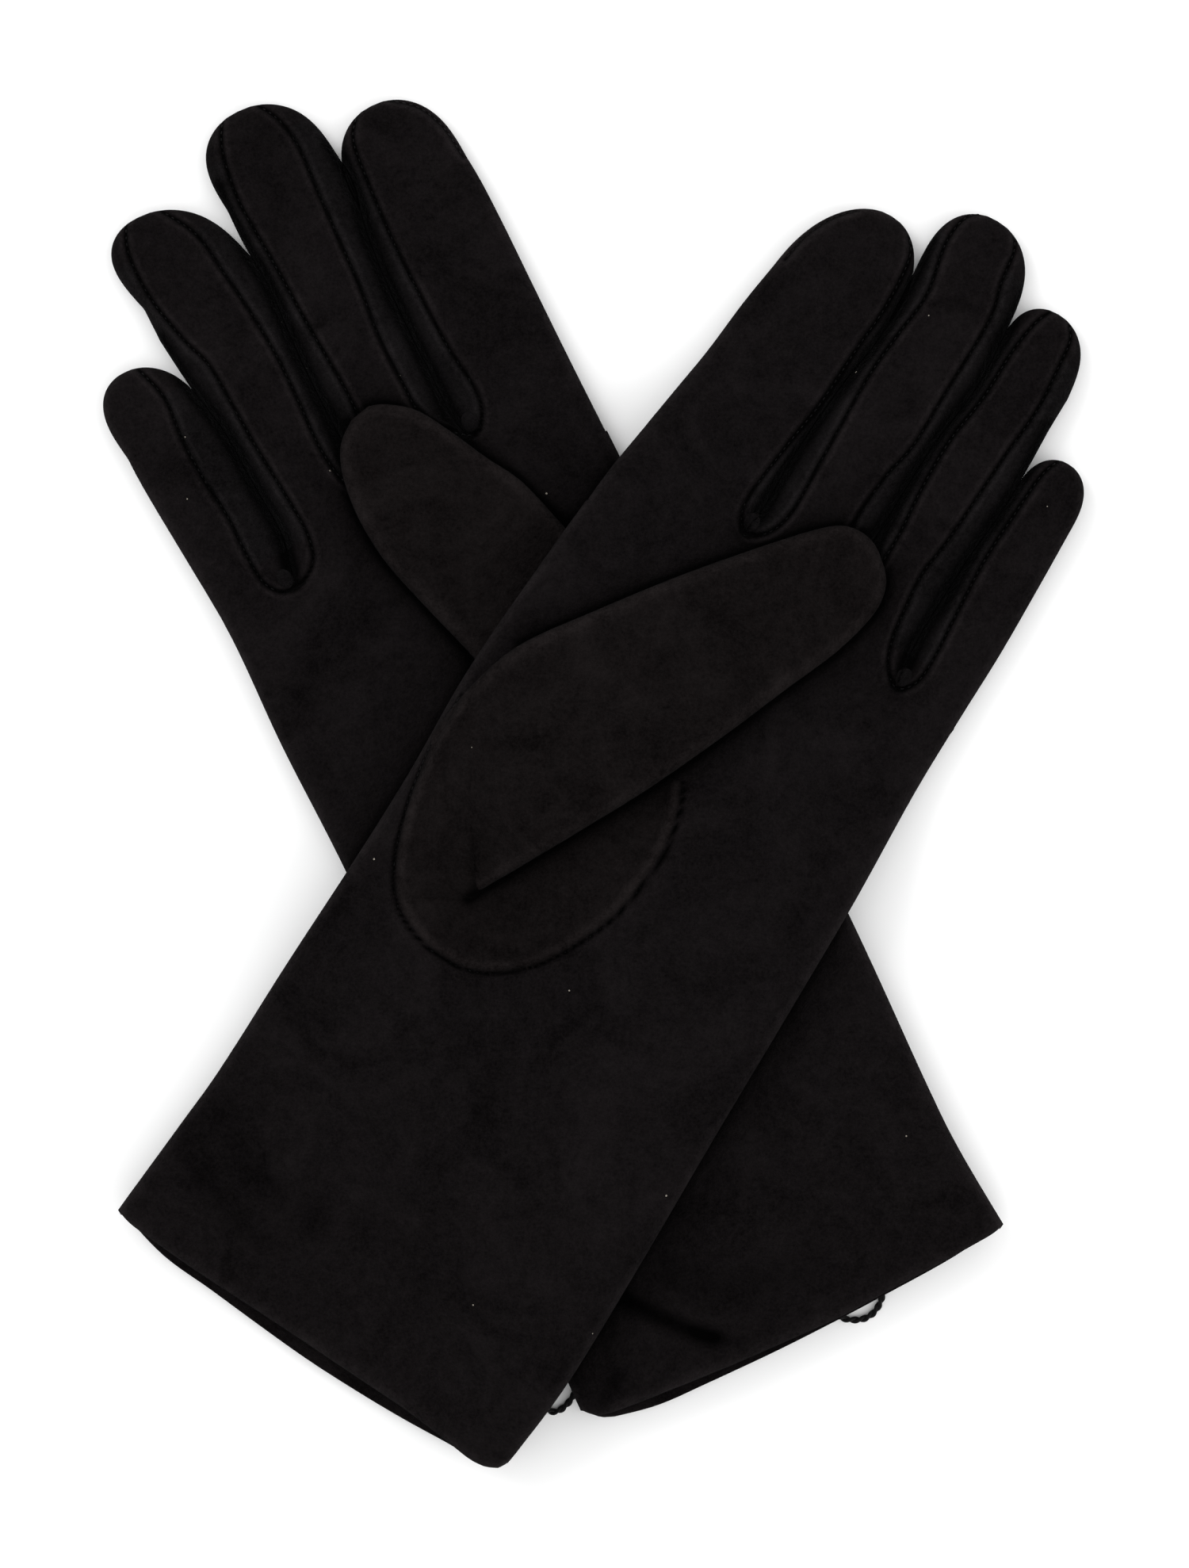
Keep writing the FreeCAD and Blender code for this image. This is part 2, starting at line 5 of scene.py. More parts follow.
import bmesh
import bpy
import numpy as np
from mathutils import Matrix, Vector

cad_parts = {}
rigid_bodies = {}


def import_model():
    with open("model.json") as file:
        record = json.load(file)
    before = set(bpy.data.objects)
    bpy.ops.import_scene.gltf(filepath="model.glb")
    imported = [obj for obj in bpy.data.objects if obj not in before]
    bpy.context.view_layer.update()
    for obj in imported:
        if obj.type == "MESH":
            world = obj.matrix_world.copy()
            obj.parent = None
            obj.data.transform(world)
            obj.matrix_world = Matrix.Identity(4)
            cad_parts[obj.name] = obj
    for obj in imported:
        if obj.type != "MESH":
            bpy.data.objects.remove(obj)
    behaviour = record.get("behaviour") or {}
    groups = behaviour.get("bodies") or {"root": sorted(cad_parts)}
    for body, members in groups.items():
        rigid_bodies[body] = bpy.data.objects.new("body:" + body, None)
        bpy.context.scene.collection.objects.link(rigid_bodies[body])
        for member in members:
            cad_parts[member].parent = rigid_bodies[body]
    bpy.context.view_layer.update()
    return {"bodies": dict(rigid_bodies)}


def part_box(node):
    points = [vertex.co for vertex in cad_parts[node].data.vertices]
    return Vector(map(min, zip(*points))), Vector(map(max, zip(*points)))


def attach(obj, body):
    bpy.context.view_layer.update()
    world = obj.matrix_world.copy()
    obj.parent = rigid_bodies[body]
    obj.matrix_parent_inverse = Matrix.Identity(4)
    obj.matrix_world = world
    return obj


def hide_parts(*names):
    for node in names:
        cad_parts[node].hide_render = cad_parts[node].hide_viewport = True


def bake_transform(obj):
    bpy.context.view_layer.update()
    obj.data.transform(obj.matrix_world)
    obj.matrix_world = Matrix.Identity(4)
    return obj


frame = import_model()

MM = 0.001

# A pair of black suede gloves, crossed, palms up. Each glove is drawn flat in millimetres:
# x across it towards the little finger, y from the hem towards the fingertips. lay() puts it
# in the frame. The left glove lies on the right one and follows it.

LAY = {"left": ((-61.6, -120.7), -31.3, 1), "right": ((43.9, -118.5), 26.75, -1)}
THICK = 8.0  # an empty hand as it lies
CUFF_EXTRA = 1.2  # the cuff stands more open
CUFF_LIFT = 2.7  # on its bow
EXTRA_FADE = (30.0, 60.0)  # where the cuff's extra height starts to fade, and over what length
LIFT_FADE = (52.0, 40.0)
TIP_THIN = (0.2, 225.0, 60.0)  # how much thinner the fingertips are, from where, over what length
FLOOR_GAP = 0.35
DRAPE_CLEAR = 1.0
DRAPE_FALL = 36.0
DRAPE_EDGES = (-48.0, 46.0)
THUMB_BUMP = 5.9
BUMP_LINE = ((-24.0, 116.0), (-12.0, 190.0))  # along the right thumb, which lifts the left glove
BUMP_FLAT, BUMP_END = 17.0, 40.0
EDGE_ROUND = 4.6  # how far in from a side the leather rolls over
MID = 0.46  # height of the side line, as a share of the thickness
THUMB_LIFT = 8.6  # underside of a folded thumb
HEM_WALL = 1.7  # leather, turned over
HEM_DEPTH = 14.0  # how far in the turned hem reaches
LINING_START, LINING_DEPTH = 11.0, 90.0  # where the lining starts, and how far in it is modelled
LINING_WALL = 1.35  # leather and lining
THUMB_BEND = 6.0  # how far past its fold a thumb's bend reaches; no bend is made with it
TIP_ROWS = 9  # rows from where the two thumb pieces meet to the bend of the tip
WALL_START, WALL_END = 8.0, 9.0  # a side wall stops this far from the finger's start and its tip
CORD = 1.6
STRAND = 0.4  # radius of one strand of the cord, and how far it lies off the middle
TWIST = 4.2  # length of one turn of the strands
KNOT_CORD = 0.72  # radius of the cord pulled tight round the knot
STITCH, STITCH_PITCH, STITCH_LENGTH = 0.14, 1.55, 1.0  # radius of the thread, then spacing and length
SHARP = math.radians(65)  # the angle at which the leather shows a hard edge
LENS, SENSOR = 85, 36
VIEW_HEIGHT = 0.347  # metres of table from the top of the view to the bottom

# Sides of the hand, from the hem up: (y, x)
PALM_SIDES = {
    "left": ([(-6, -51.4), (1, -51.0), (25, -49.0), (38, -48.0), (63, -47.4), (90, -46.4), (114, -46.0),
              (143, -46.4), (171, -44.8), (195, -43.0), (210, -41.2)],
             [(-6, 50.2), (2, 51.2), (28, 52.4), (84, 52.0), (140, 51.7), (170, 51.2), (190, 51.3),
              (210, 51.5)]),
    "right": ([(-6, -51.2), (-1.6, -50.8), (18, -49.5), (34, -49.6), (76, -51.2), (120, -51.4),
               (188, -51.6), (215, -51.7)],
              [(-6, 51.2), (1.6, 50.8), (60, 48.1), (100, 45.5), (132, 43.7), (164, 43.8), (190, 43.0),
               (215, 44.2)]),
}
# Hem lines, little finger's side last: (x, y) of the palm's hem and of the back's, which shows past it
HEMS = {
    "left": ([(-51, 0.9), (-44.8, 0.2), (-30, -0.8), (-12, -1.4), (6, -2.1), (24, -2.8), (38, -4.2),
              (45, -4.8), (49.6, -3.6), (51.6, 0.4)],
             [(-51, 0.6), (-38, -2.8), (-25, -3.8), (-11, -5.0), (2, -5.9), (15, -6.2), (27, -6.1),
              (38, -5.6), (46, -5.2), (50, -3.4), (51.6, 0.2)]),
    "right": ([(-51.4, -1.0), (-36, -1.6), (-22, -2.0), (-8, -2.3), (8, -1.5), (26, -0.3), (41, 1.0),
               (47.6, 2.0), (51, 5.0)],
              [(-51.4, -1.2), (-38, -2.8), (-22, -3.4), (-8, -3.7), (7, -3.7), (24, -3.2), (35, -2.7),
               (43, -1.2), (48, 0.4), (51, 4.4)]),
}
# The fold lines between the fingers, from the crotch up: (y, x)
FOLDS = {
    "left": {"index_middle": [(199.6, -10.6), (207, -9.9), (217, -10.2), (227, -10.0), (240, -9.1),
                              (251, -7.6), (262, -8.0), (276, -9.4)],
             "middle_ring": [(205, 14.6), (214, 14.6), (236, 14.8), (246, 15.8), (255, 16.5), (266, 15.8),
                             (276, 15.0)],
             "ring_pinky": [(188, 35.6), (192, 34.9), (202, 34.1), (221, 34.5), (232, 35.3), (244, 35.4),
                            (254, 35.0)]},
    "right": {"index_middle": [(206.7, -23.6), (212, -22.4), (221, -22.5), (233, -22.5), (246, -22.9),
                               (258, -24.1), (268, -26.2), (278, -25.6)],
              "middle_ring": [(208, 1.6), (218, 1.6), (231, 1.8), (243, 1.5), (256, 0.7), (267, 1.5),
                              (280, 1.2)],
              "ring_pinky": [(195, 24.9), (200, 24.0), (206, 22.7), (220, 23.4), (232, 23.9), (244, 26.2),
                             (256, 27.6)]},
}
# Fingertips: where the tip starts, the top point (x, y), and how square it is
TIPS = {
    "left": {"index": (254, (-19.2, 276.4), 2.3), "middle": (268, (1.4, 287.6), 3.2),
             "ring": (262, (23.6, 277.0), 3.2), "pinky": (237, (42.6, 249.8), 3.0)},
    "right": {"index": (262, (-37.4, 281.6), 2.9), "middle": (275, (-10.4, 293.8), 3.1),
              "ring": (264, (19.8, 282.8), 3.2), "pinky": (236, (37.8, 253.5), 3.1)},
}
# Outer sides of the first finger and the last: (y, x)
OUTER_SIDES = {
    "left": {"index": [(180, -43.9), (195, -43.0), (206, -41.6), (218.5, -40.0), (230, -38.5), (243, -37.3),
                       (254.5, -35.7)],
             "pinky": [(170, 51.2), (190, 51.3), (206, 51.5), (223, 51.1), (240, 50.5)]},
    "right": {"index": [(180, -51.3), (210, -51.3), (230, -51.5), (245, -51.7), (256, -51.6), (264, -51.0)],
              "pinky": [(170, 43.8), (190, 43.0), (200, 43.4), (208, 44.0), (229, 45.5), (240, 45.6)]},
}
# Creases pressed into each cuff and palm: points (x, y), half width, depth
CREASES = {
    "left": [([(-46, 20), (-34, 15), (-22, 13)], 3.4, 0.5), ([(-44, 31), (-30, 24), (-12, 22)], 4.0, 0.45)],
    "right": [([(38, 30), (31.4, 22.8), (26.4, 16.1), (22, 10.5), (17.4, 5.7)], 2.1, 1.6),
              ([(20, 8), (12, 2.5)], 1.6, 0.6), ([(47, 1), (44, 5), (40, 8)], 2.2, 0.8),
              ([(20, 22), (8, 14), (-6, 10)], 4.0, 0.5)],
}
FINGERS = ("index", "middle", "ring", "pinky")
GAPS = [f"{a}_{b}" for a, b in zip(FINGERS, FINGERS[1:])]
FINGER_START = {"left": 187.0, "right": 194.0}
# Palm-side seams, each up one finger, round the crotch and up the next: (x, y)
SEAMS = {
    "left": {
        "index_middle": [(-13.6, 274.4), (-11.0, 270), (-10.0, 258), (-10.6, 247.5), (-11.2, 232.5),
                         (-12.7, 220.7), (-14.0, 207.5), (-13.2, 202), (-10.5, 199.2), (-6.6, 201.4),
                         (-4.2, 208), (-4.5, 222), (-5.2, 242), (-4.5, 254), (-3.6, 265), (-5.9, 277),
                         (-5.2, 284), (-2.4, 287.2)],
        "middle_ring": [(5.6, 287.2), (7.8, 283.4), (9, 276), (11.1, 267), (11.1, 248), (11.0, 235),
                        (9.4, 226), (8.7, 216), (9.6, 208.5), (14, 204), (18, 207), (18.6, 216),
                        (17.6, 228), (17.4, 240), (18.8, 252), (19.0, 264), (20.0, 272), (21.6, 276.2)],
        "ring_pinky": [(26.6, 276.2), (28.6, 273), (29.4, 267), (30.3, 256), (29.5, 244), (29.1, 235),
                       (28.4, 221), (27.4, 212), (28.2, 203), (29.6, 195), (32.1, 190), (35.8, 187.6),
                       (38.8, 191), (39.2, 198), (38.3, 209.6), (37.6, 222), (38.0, 234), (38.6, 244),
                       (40.2, 249)],
    },
    "right": {
        "index_middle": [(-33.6, 281), (-30.4, 276), (-29.1, 266), (-28.2, 251.5), (-28.2, 238),
                         (-28.5, 226), (-29.7, 215), (-28.6, 209.5), (-25.3, 206.2), (-19.4, 210.4),
                         (-16.4, 216.5), (-16, 223), (-15.9, 234), (-17.2, 246.6), (-17.7, 257),
                         (-18.5, 271), (-19.0, 281), (-17.6, 288), (-15.0, 292.8)],
        "middle_ring": [(-6.6, 293.2), (-4.4, 289), (-2.9, 284), (-1.9, 276), (-2.0, 270), (-2.7, 258.6),
                        (-3.1, 246), (-3.8, 234.5), (-4.2, 225.7), (-3.6, 214), (-1, 207.6), (2.6, 206.4),
                        (5.4, 210.5), (6.6, 219), (6.2, 230), (6.0, 241), (6.9, 253), (8.2, 263),
                        (9.8, 273), (14.6, 281.8)],
        "ring_pinky": [(22.8, 282), (24.8, 277), (25.4, 271), (24.8, 263), (22.5, 253), (20.2, 246),
                       (19.5, 235), (19.0, 224.5), (18.1, 214), (17.5, 204), (18.9, 197.6), (23.2, 194.2),
                       (27.9, 194), (30.9, 197.6), (31.6, 204), (31.5, 214), (32.5, 224), (32.8, 234),
                       (32.2, 244), (34.6, 252.4)],
    },
}
TIP_SEAMS = {"left": [(-34.3, 255.5), (-33.2, 262), (-30.2, 268.6), (-26.4, 273.2)],
             "right": [(-50.4, 262), (-49.4, 270), (-46.4, 276.4), (-41.6, 280.4)]}
# The thumb piece's base is sewn to the palm round this oval
THUMB_OVAL = [(6.2, 145), (8.5, 140), (10.4, 131), (10.0, 122), (8.6, 113), (5.1, 104), (0.5, 96),
              (-5.5, 90), (-12.1, 86.4), (-20.3, 85.6), (-27.8, 87.4), (-33.7, 91), (-38.4, 98),
              (-41.8, 107.5), (-44.0, 117.5), (-45.0, 127.5), (-44.6, 137)]
# Folded thumbs: pairs of points across, from short of the fold to the tip, with thickness
THUMB = {
    "left": [((-46.0, 126), (-21.8, 92), 4.6), ((-43.6, 140), (-20.6, 99.6), 5.4),
             ((-39.2, 152.6), (-14.8, 111), 6.1), ((-28.6, 168), (-7.5, 125), 6.4),
             ((-17.1, 184), (0.4, 140.5), 6.4), ((-7.4, 196.4), (8.5, 159), 6.3),
             ((0.9, 206.3), (14.6, 174), 6.1), ((5.9, 211), (20.3, 188), 5.8),
             ((10, 212.5), (22.8, 199), 5.0), ((14, 212.2), (21.9, 205.2), 3.8),
             ((16.6, 211), (19.6, 208.6), 1.6)],
    "right": [((-47.5, 124), (-19.0, 92), 3.6), ((-45, 138), (-16.6, 99), 4.0),
              ((-41.0, 151), (-13.0, 114), 4.1), ((-37.0, 166), (-8.5, 135), 4.2),
              ((-33.2, 180), (-3.4, 160), 4.2), ((-29.6, 192), (1.4, 176.5), 4.8),
              ((-25.0, 200.2), (4.9, 189.5), 5.6), ((-20.4, 209.2), (5.9, 201), 5.7),
              ((-16.0, 216.3), (4.8, 210.6), 5.0), ((-10.6, 220.5), (2.2, 216.9), 3.8),
              ((-7.0, 221.9), (-2.4, 220.9), 1.6)],
}
FOLD_ROW, BEND_ROW = 1, 5  # pairs where a thumb folds over and where its tip lifts
# The cords of each bow, from the knot outwards and the loops back to it: (x, y)
BOW_ROUTES = {
    "left": {
        "loop_outer": [(7.2, 35.0), (18, 34.6), (30, 32.4), (41, 31.0), (51.0, 28.4), (56.8, 19.6),
                       (55.6, 11.0), (50.4, 11.4), (40.0, 15.4), (27, 20.6), (16, 27.8), (7.2, 32.6)],
        "loop_inner": [(0.8, 35.2), (-10, 37.6), (-22, 42.2), (-34, 44.6), (-43.0, 39.6), (-42.4, 31.0),
                       (-33, 26.2), (-21, 27.4), (-10, 30.6), (0.8, 32.6)],
        "tail_outer": [(5.4, 31.2), (9.0, 23.0), (17.0, 14.6), (28.0, 8.4), (36.0, 3.6)],
        "tail_inner": [(2.6, 31.2), (-1.4, 22.6), (-9.6, 15.4), (-19.6, 12.8), (-28.4, 8.2)],
    },
    "right": {
        "loop_outer": [(-3.4, 37.2), (-8.0, 27.0), (-8.0, 15.4), (-6.6, 3.0), (-8.6, -4.6), (-15.5, -8.2),
                       (-22.0, -3.0), (-20.6, 10.0), (-16.2, 21.6), (-12.6, 32.2), (-4.8, 37.2)],
        "loop_inner": [(1.2, 41.2), (11.6, 44.6), (23.0, 48.4), (33.0, 47.2), (38.4, 40.0), (34.0, 32.4),
                       (23.6, 31.0), (12.6, 35.2), (1.2, 38.8)],
        "tail_outer": [(-0.8, 37.2), (2.6, 27.4), (1.4, 17.0), (5.8, 7.6), (14.6, 4.2)],
        "tail_inner": [(-5.2, 40.0), (-16.0, 41.4), (-26.2, 38.0), (-33.4, 30.4), (-42.0, 27.4)],
    },
}


# ---------------------------------------------------------------- places and heights

def smooth(t):
    """0 up to t = 0, 1 from t = 1, and a soft step between."""
    t = np.clip(t, 0.0, 1.0)
    return t * t * (3 - 2 * t)


def directions(glove):
    """Which way x and y of a glove's plan point on the table."""
    _, turn, mirror = LAY[glove]
    turn = math.radians(turn)
    across = np.array([mirror * math.cos(turn), mirror * math.sin(turn)])
    return across, np.array([-math.sin(turn), math.cos(turn)])


def lift(y):
    """How high the underside lies off the table or the other glove."""
    return FLOOR_GAP + CUFF_LIFT * (1 - smooth((y - LIFT_FADE[0]) / LIFT_FADE[1]))


def hand_thick(y):
    """Height of the empty glove from its underside to its top."""
    return THICK + CUFF_EXTRA * (1 - smooth((y - EXTRA_FADE[0]) / EXTRA_FADE[1]))


def drape(px, py):
    """How high the left glove is carried at a place on the table."""
    ex, ey = directions("right")
    ox, oy = LAY["right"][0]
    x = ex[0] * (px - ox) + ex[1] * (py - oy)
    y = ey[0] * (px - ox) + ey[1] * (py - oy)
    inside = smooth((x - DRAPE_EDGES[0]) / DRAPE_FALL + 1) * smooth((DRAPE_EDGES[1] - x) / DRAPE_FALL + 1)
    away = line_distance(x, y, np.array(BUMP_LINE))
    bump = smooth((BUMP_END - away) / (BUMP_END - BUMP_FLAT))
    return inside * (hand_thick(y) + lift(y) + DRAPE_CLEAR) + THUMB_BUMP * bump


def line_distance(x, y, line):
    """Distance from points to a run of straight stretches."""
    x, y = np.asarray(x, float), np.asarray(y, float)
    best = np.full(np.broadcast(x, y).shape, 1e9)
    for (ax, ay), (bx, by) in zip(line[:-1], line[1:]):
        dx, dy = bx - ax, by - ay
        t = np.clip(((x - ax) * dx + (y - ay) * dy) / max(dx * dx + dy * dy, 1e-9), 0, 1)
        best = np.minimum(best, np.hypot(x - ax - t * dx, y - ay - t * dy))
    return best


def nearest(x, y, lines):
    """Distance from points to the nearest of several lines."""
    return np.min([line_distance(x, y, line) for line in lines], axis=0)


def bell(distance, width):
    """1 at no distance, fading smoothly over a width."""
    return np.exp(-(distance / width) ** 2)


def lay(glove, x, y, z):
    """Flat glove points, in millimetres, to the frame, in metres."""
    x, y, z = (np.asarray(v, float) for v in (x, y, z))
    ex, ey = directions(glove)
    ox, oy = LAY[glove][0]
    px = ox + ex[0] * x + ey[0] * y
    py = oy + ex[1] * x + ey[1] * y
    height = z + lift(y)
    if glove == "left":
        height = height + drape(px, py)
    return np.stack([px, py, height], -1) * MM


def carried(line, glove, other):
    """A line in one glove's plan, in the other glove's plan."""
    places = lay(glove, line[:, 0], line[:, 1], 0.0)[:, :2] / MM - np.array(LAY[other][0])
    ex, ey = directions(other)
    return np.stack([places @ ex, places @ ey], -1)


def spline(points, step=1.2):
    """A smooth line through a few points, as short straight stretches."""
    p = np.array(points, float)
    p = np.vstack([2 * p[0] - p[1], p, 2 * p[-1] - p[-2]])
    line = []
    for a, b, c, d in zip(p, p[1:], p[2:], p[3:]):
        count = max(2, int(np.hypot(*(c - b)) / step))
        t = np.linspace(0, 1, count, endpoint=False)[:, None]
        line.append(0.5 * (2 * b + (c - a) * t + (2 * a - 5 * b + 4 * c - d) * t ** 2
                           + (3 * b - a - 3 * c + d) * t ** 3))
    line.append(p[-2][None])
    return np.vstack(line)


def along(table, y):
    """x at y on a side given as (y, x) points."""
    line = spline(table, 2.0)
    return np.interp(y, line[:, 0], line[:, 1])


def finger_sides(glove, finger, y):
    """A finger's two sides, closing round at its tip."""
    order = FINGERS.index(finger)
    folds = [FOLDS[glove][gap] for gap in GAPS]
    lows = [OUTER_SIDES[glove]["index"]] + folds
    highs = folds + [OUTER_SIDES[glove]["pinky"]]
    start, (tip_x, tip_y), square = TIPS[glove][finger]
    body = np.minimum(y, start)
    left, right = along(lows[order], body), along(highs[order], body)
    u = np.clip((y - start) / (tip_y - start), 0, 1)
    half = (right - left) / 2 * np.sqrt(np.maximum(1 - u ** square, 0))
    middle = (left + right) / 2 * (1 - u) + tip_x * u
    return middle - half, middle + half


def side_lines(glove):
    """Every line where the leather rolls down: the outline and the folds between the fingers."""
    lines = []
    start = FINGER_START[glove]
    for table in PALM_SIDES[glove]:
        y = np.arange(-20, start + 1, 2.0)
        lines.append(np.stack([along(table, np.maximum(y, -6)), y], -1))
    for order, finger in enumerate(FINGERS):
        tip = TIPS[glove][finger][1][1]
        crotch_left = FOLDS[glove][GAPS[order - 1]][0][0] if order else start
        crotch_right = FOLDS[glove][GAPS[order]][0][0] if order < len(GAPS) else start
        grow = tip - (tip - start) * np.linspace(1, 0, 70) ** 2.0
        for side, crotch in ((0, crotch_left), (1, crotch_right)):
            y = np.concatenate([[crotch], grow[grow > crotch]])
            lines.append(np.stack([finger_sides(glove, finger, y)[side], y], -1))
    return lines


def ripple(x, y, seed, sizes, heights):
    """Soft, uneven waves, the same on every run."""
    rng = random.Random(seed)
    total = np.zeros(np.broadcast(x, y).shape)
    for size, height in zip(sizes, heights):
        for _ in range(5):
            angle = rng.uniform(0, math.pi)
            phase = rng.uniform(0, 2 * math.pi)
            wave = size * rng.uniform(0.7, 1.4)
            ahead = x * math.cos(angle) + y * math.sin(angle)
            total += height * 0.45 * np.sin(2 * math.pi * ahead / wave + phase)
    return total


class Hand:
    """One glove's height over its own flat plan."""

    def __init__(self, glove):
        self.glove = glove
        self.sides = side_lines(glove)
        self.folds = [spline([(x, y) for y, x in table]) for table in FOLDS[glove].values()]
        self.outline = [line for line in self.sides if self.clear_of_folds(line)]
        self.seams = {name: spline(points) for name, points in SEAMS[glove].items()}
        self.tip_seam = spline(TIP_SEAMS[glove])
        self.oval = spline(THUMB_OVAL)
        self.fold = np.array([THUMB[glove][FOLD_ROW][0], THUMB[glove][FOLD_ROW][1]])
        self.creases = [(spline(points), wide, deep) for points, wide, deep in CREASES[glove]]
        first, second = ([pair[i] for pair in THUMB[glove][FOLD_ROW + 1 - i:]] for i in (0, 1))
        # The thumb's outline and, on the right glove, the left glove's edges lying on it: lines along which a
        # painted contact shadow is laid.
        self.covers = [spline(first + second[::-1])]
        self.overlap_edges = []
        if glove == "right":
            self.overlap_edges = [carried(line, "left", "right") for line in side_lines("left")]

    def clear_of_folds(self, line):
        """Whether a side line is mostly an outer edge."""
        away = nearest(line[:, 0], line[:, 1], self.folds)
        return float(np.mean(away > 2.0)) > 0.6

    def seam_distance(self, x, y):
        return nearest(x, y, list(self.seams.values()) + [self.tip_seam])

    def seam_relief(self, x, y):
        """The groove of each seam with its raised lips."""
        d = self.seam_distance(x, y)
        relief = -0.8 * bell(d, 0.5) + 0.42 * bell(d - 1.25, 0.6)
        oval = line_distance(x, y, self.oval)
        roll = np.where(inside_oval(self, x, y), 1.1, 0.15) * bell(oval - 1.9, 1.2)
        return relief + roll - 0.8 * bell(oval, 0.45)

    def tone(self, x, y):
        """Painted light: above 0 a painted highlight on seam lips, round the thumb's seam and along the outer
        edges; below 0 painted shade in seam grooves, between the fingers and in creases, and a painted
        contact shadow along the thumb and the other glove.
        """
        # Painted highlight on each seam's lips and painted shade in its groove; the same round the thumb's
        # oval seam.
        d = self.seam_distance(x, y)
        seam = 0.6 * bell(d - 1.2, 0.55) - 1.1 * bell(d, 0.4)
        oval = line_distance(x, y, self.oval)
        seam += np.where(inside_oval(self, x, y), 0.7, 0.1) * bell(oval - 1.7, 0.9)
        seam -= 1.1 * bell(oval, 0.35)
        fold = nearest(x, y, self.folds)
        rim = nearest(x, y, self.outline)
        # Painted shade between the fingers and a painted highlight along the outer edges.
        light = seam - 1.3 * bell(fold, 2.0) + 0.55 * bell(rim - 0.6, 1.1)
        # Painted shade in the creases, and the painted contact shadow.
        return light - 0.5 * self.dents(x, y) - self.painted_contact_shadow(x, y)

    def dents(self, x, y):
        """How deep the creases are."""
        return sum(deep * bell(line_distance(x, y, line), wide) for line, wide, deep in self.creases)

    def painted_contact_shadow(self, x, y):
        """Painted contact shadow along the edge of the thumb and along the other glove's edges where it lies
        on this one.
        """
        total = 0.0
        for lines, strength in ((self.covers, 0.75), (self.overlap_edges, 0.5)):
            if lines:
                d = nearest(x, y, lines)
                total = total + strength * (bell(d, 1.5) + 0.35 * bell(d, 5.0))
        return total

    def thumb_mound(self, x, y):
        """The thumb's base swells up out of the palm, from the oval seam to the fold."""
        (ax, ay), (bx, by) = self.fold
        length = math.hypot(bx - ax, by - ay)
        ux, uy = (bx - ax) / length, (by - ay) / length
        s = ((x - ax) * ux + (y - ay) * uy) / length
        q = (x - ax) * uy - (y - ay) * ux
        across = np.sqrt(np.clip(1 - (2 * s - 1) ** 2, 0, 1)) * (s > 0) * (s < 1)
        up = THUMB[self.glove][FOLD_ROW][2]
        rise = smooth(1 - q / 26.0) * (q > 0)
        behind = smooth(1 + q / 3.0) * (q <= 0)
        return (up + 0.2) * across ** 0.8 * (rise + behind)

    def profile(self, x, y):
        """From 0 on a side line to 1 on the flat."""
        d = np.clip(nearest(x, y, self.sides) / EDGE_ROUND, 0, 1)
        return np.sqrt(np.clip(1 - (1 - d) ** 2, 0, 1))

    def top(self, x, y):
        """Height of the palm's leather over the underside."""
        full = self.thickness(x, y)
        p = self.profile(x, y)
        wrinkles = ripple(x, y, 3, (46, 21, 9), (0.34, 0.2, 0.06)) * p
        relief = self.seam_relief(x, y) + self.thumb_mound(x, y) - self.dents(x, y)
        return full * (MID + (1 - MID) * p) + relief * p + wrinkles

    def bottom(self, x, y):
        """Height of the back's leather, which rises only at the sides."""
        full = self.thickness(x, y)
        return full * MID * (1 - self.profile(x, y))

    def thickness(self, x, y):
        """Thinner towards the fingertips."""
        share, start, length = TIP_THIN
        return hand_thick(y) * (1 - share * smooth((y - start) / length))


# ---------------------------------------------------------------- materials

def node(tree, kind, **inputs):
    """A shader node with its inputs set, or linked where a socket is given."""
    made = tree.nodes.new(kind)
    for key, value in inputs.items():
        if key.startswith("_"):
            setattr(made, key[1:], value)
            continue
        socket = made.inputs[int(key[2:])] if key.startswith("in") else made.inputs[key.replace("_", " ")]
        if isinstance(value, bpy.types.NodeSocket):
            tree.links.new(value, socket)
        else:
            socket.default_value = value
    return made


def ramp(tree, fac, stops):
    """Colours at places along fac."""
    made = node(tree, "ShaderNodeValToRGB", Fac=fac)
    elements = made.color_ramp.elements
    while len(elements) < len(stops):
        elements.new(0.5)
    for element, (place, colour) in zip(elements, stops):
        element.position = place
        element.color = (*colour, 1)
    return made.outputs["Color"]


def noise(tree, coords, scale, detail=3.0, rough=0.55, distortion=0.0):
    made = node(tree, "ShaderNodeTexNoise", Vector=coords, Scale=scale, Detail=detail, Roughness=rough,
                Distortion=distortion)
    return made.outputs["Fac"]


def maths(tree, operation, a, b):
    return node(tree, "ShaderNodeMath", _operation=operation, in0=a, in1=b).outputs[0]


def blank(name):
    """A new material, its nodes, its shader and places on the piece."""
    material = bpy.data.materials.new(name)
    material.use_nodes = True
    tree = material.node_tree
    return material, tree, tree.nodes["Principled BSDF"], node(tree, "ShaderNodeTexCoord").outputs["Object"]


def surface(tree, shader, colour, height, strength, depth, **settings):
    """Sets what is the same all over, and links the colour and the bumps."""
    tree.links.new(colour, shader.inputs["Base Color"])
    for name, value in settings.items():
        shader.inputs[name.replace("_", " ")].default_value = value
    bump = node(tree, "ShaderNodeBump", Strength=strength, Distance=depth, Height=height)
    tree.links.new(bump.outputs["Normal"], shader.inputs["Normal"])


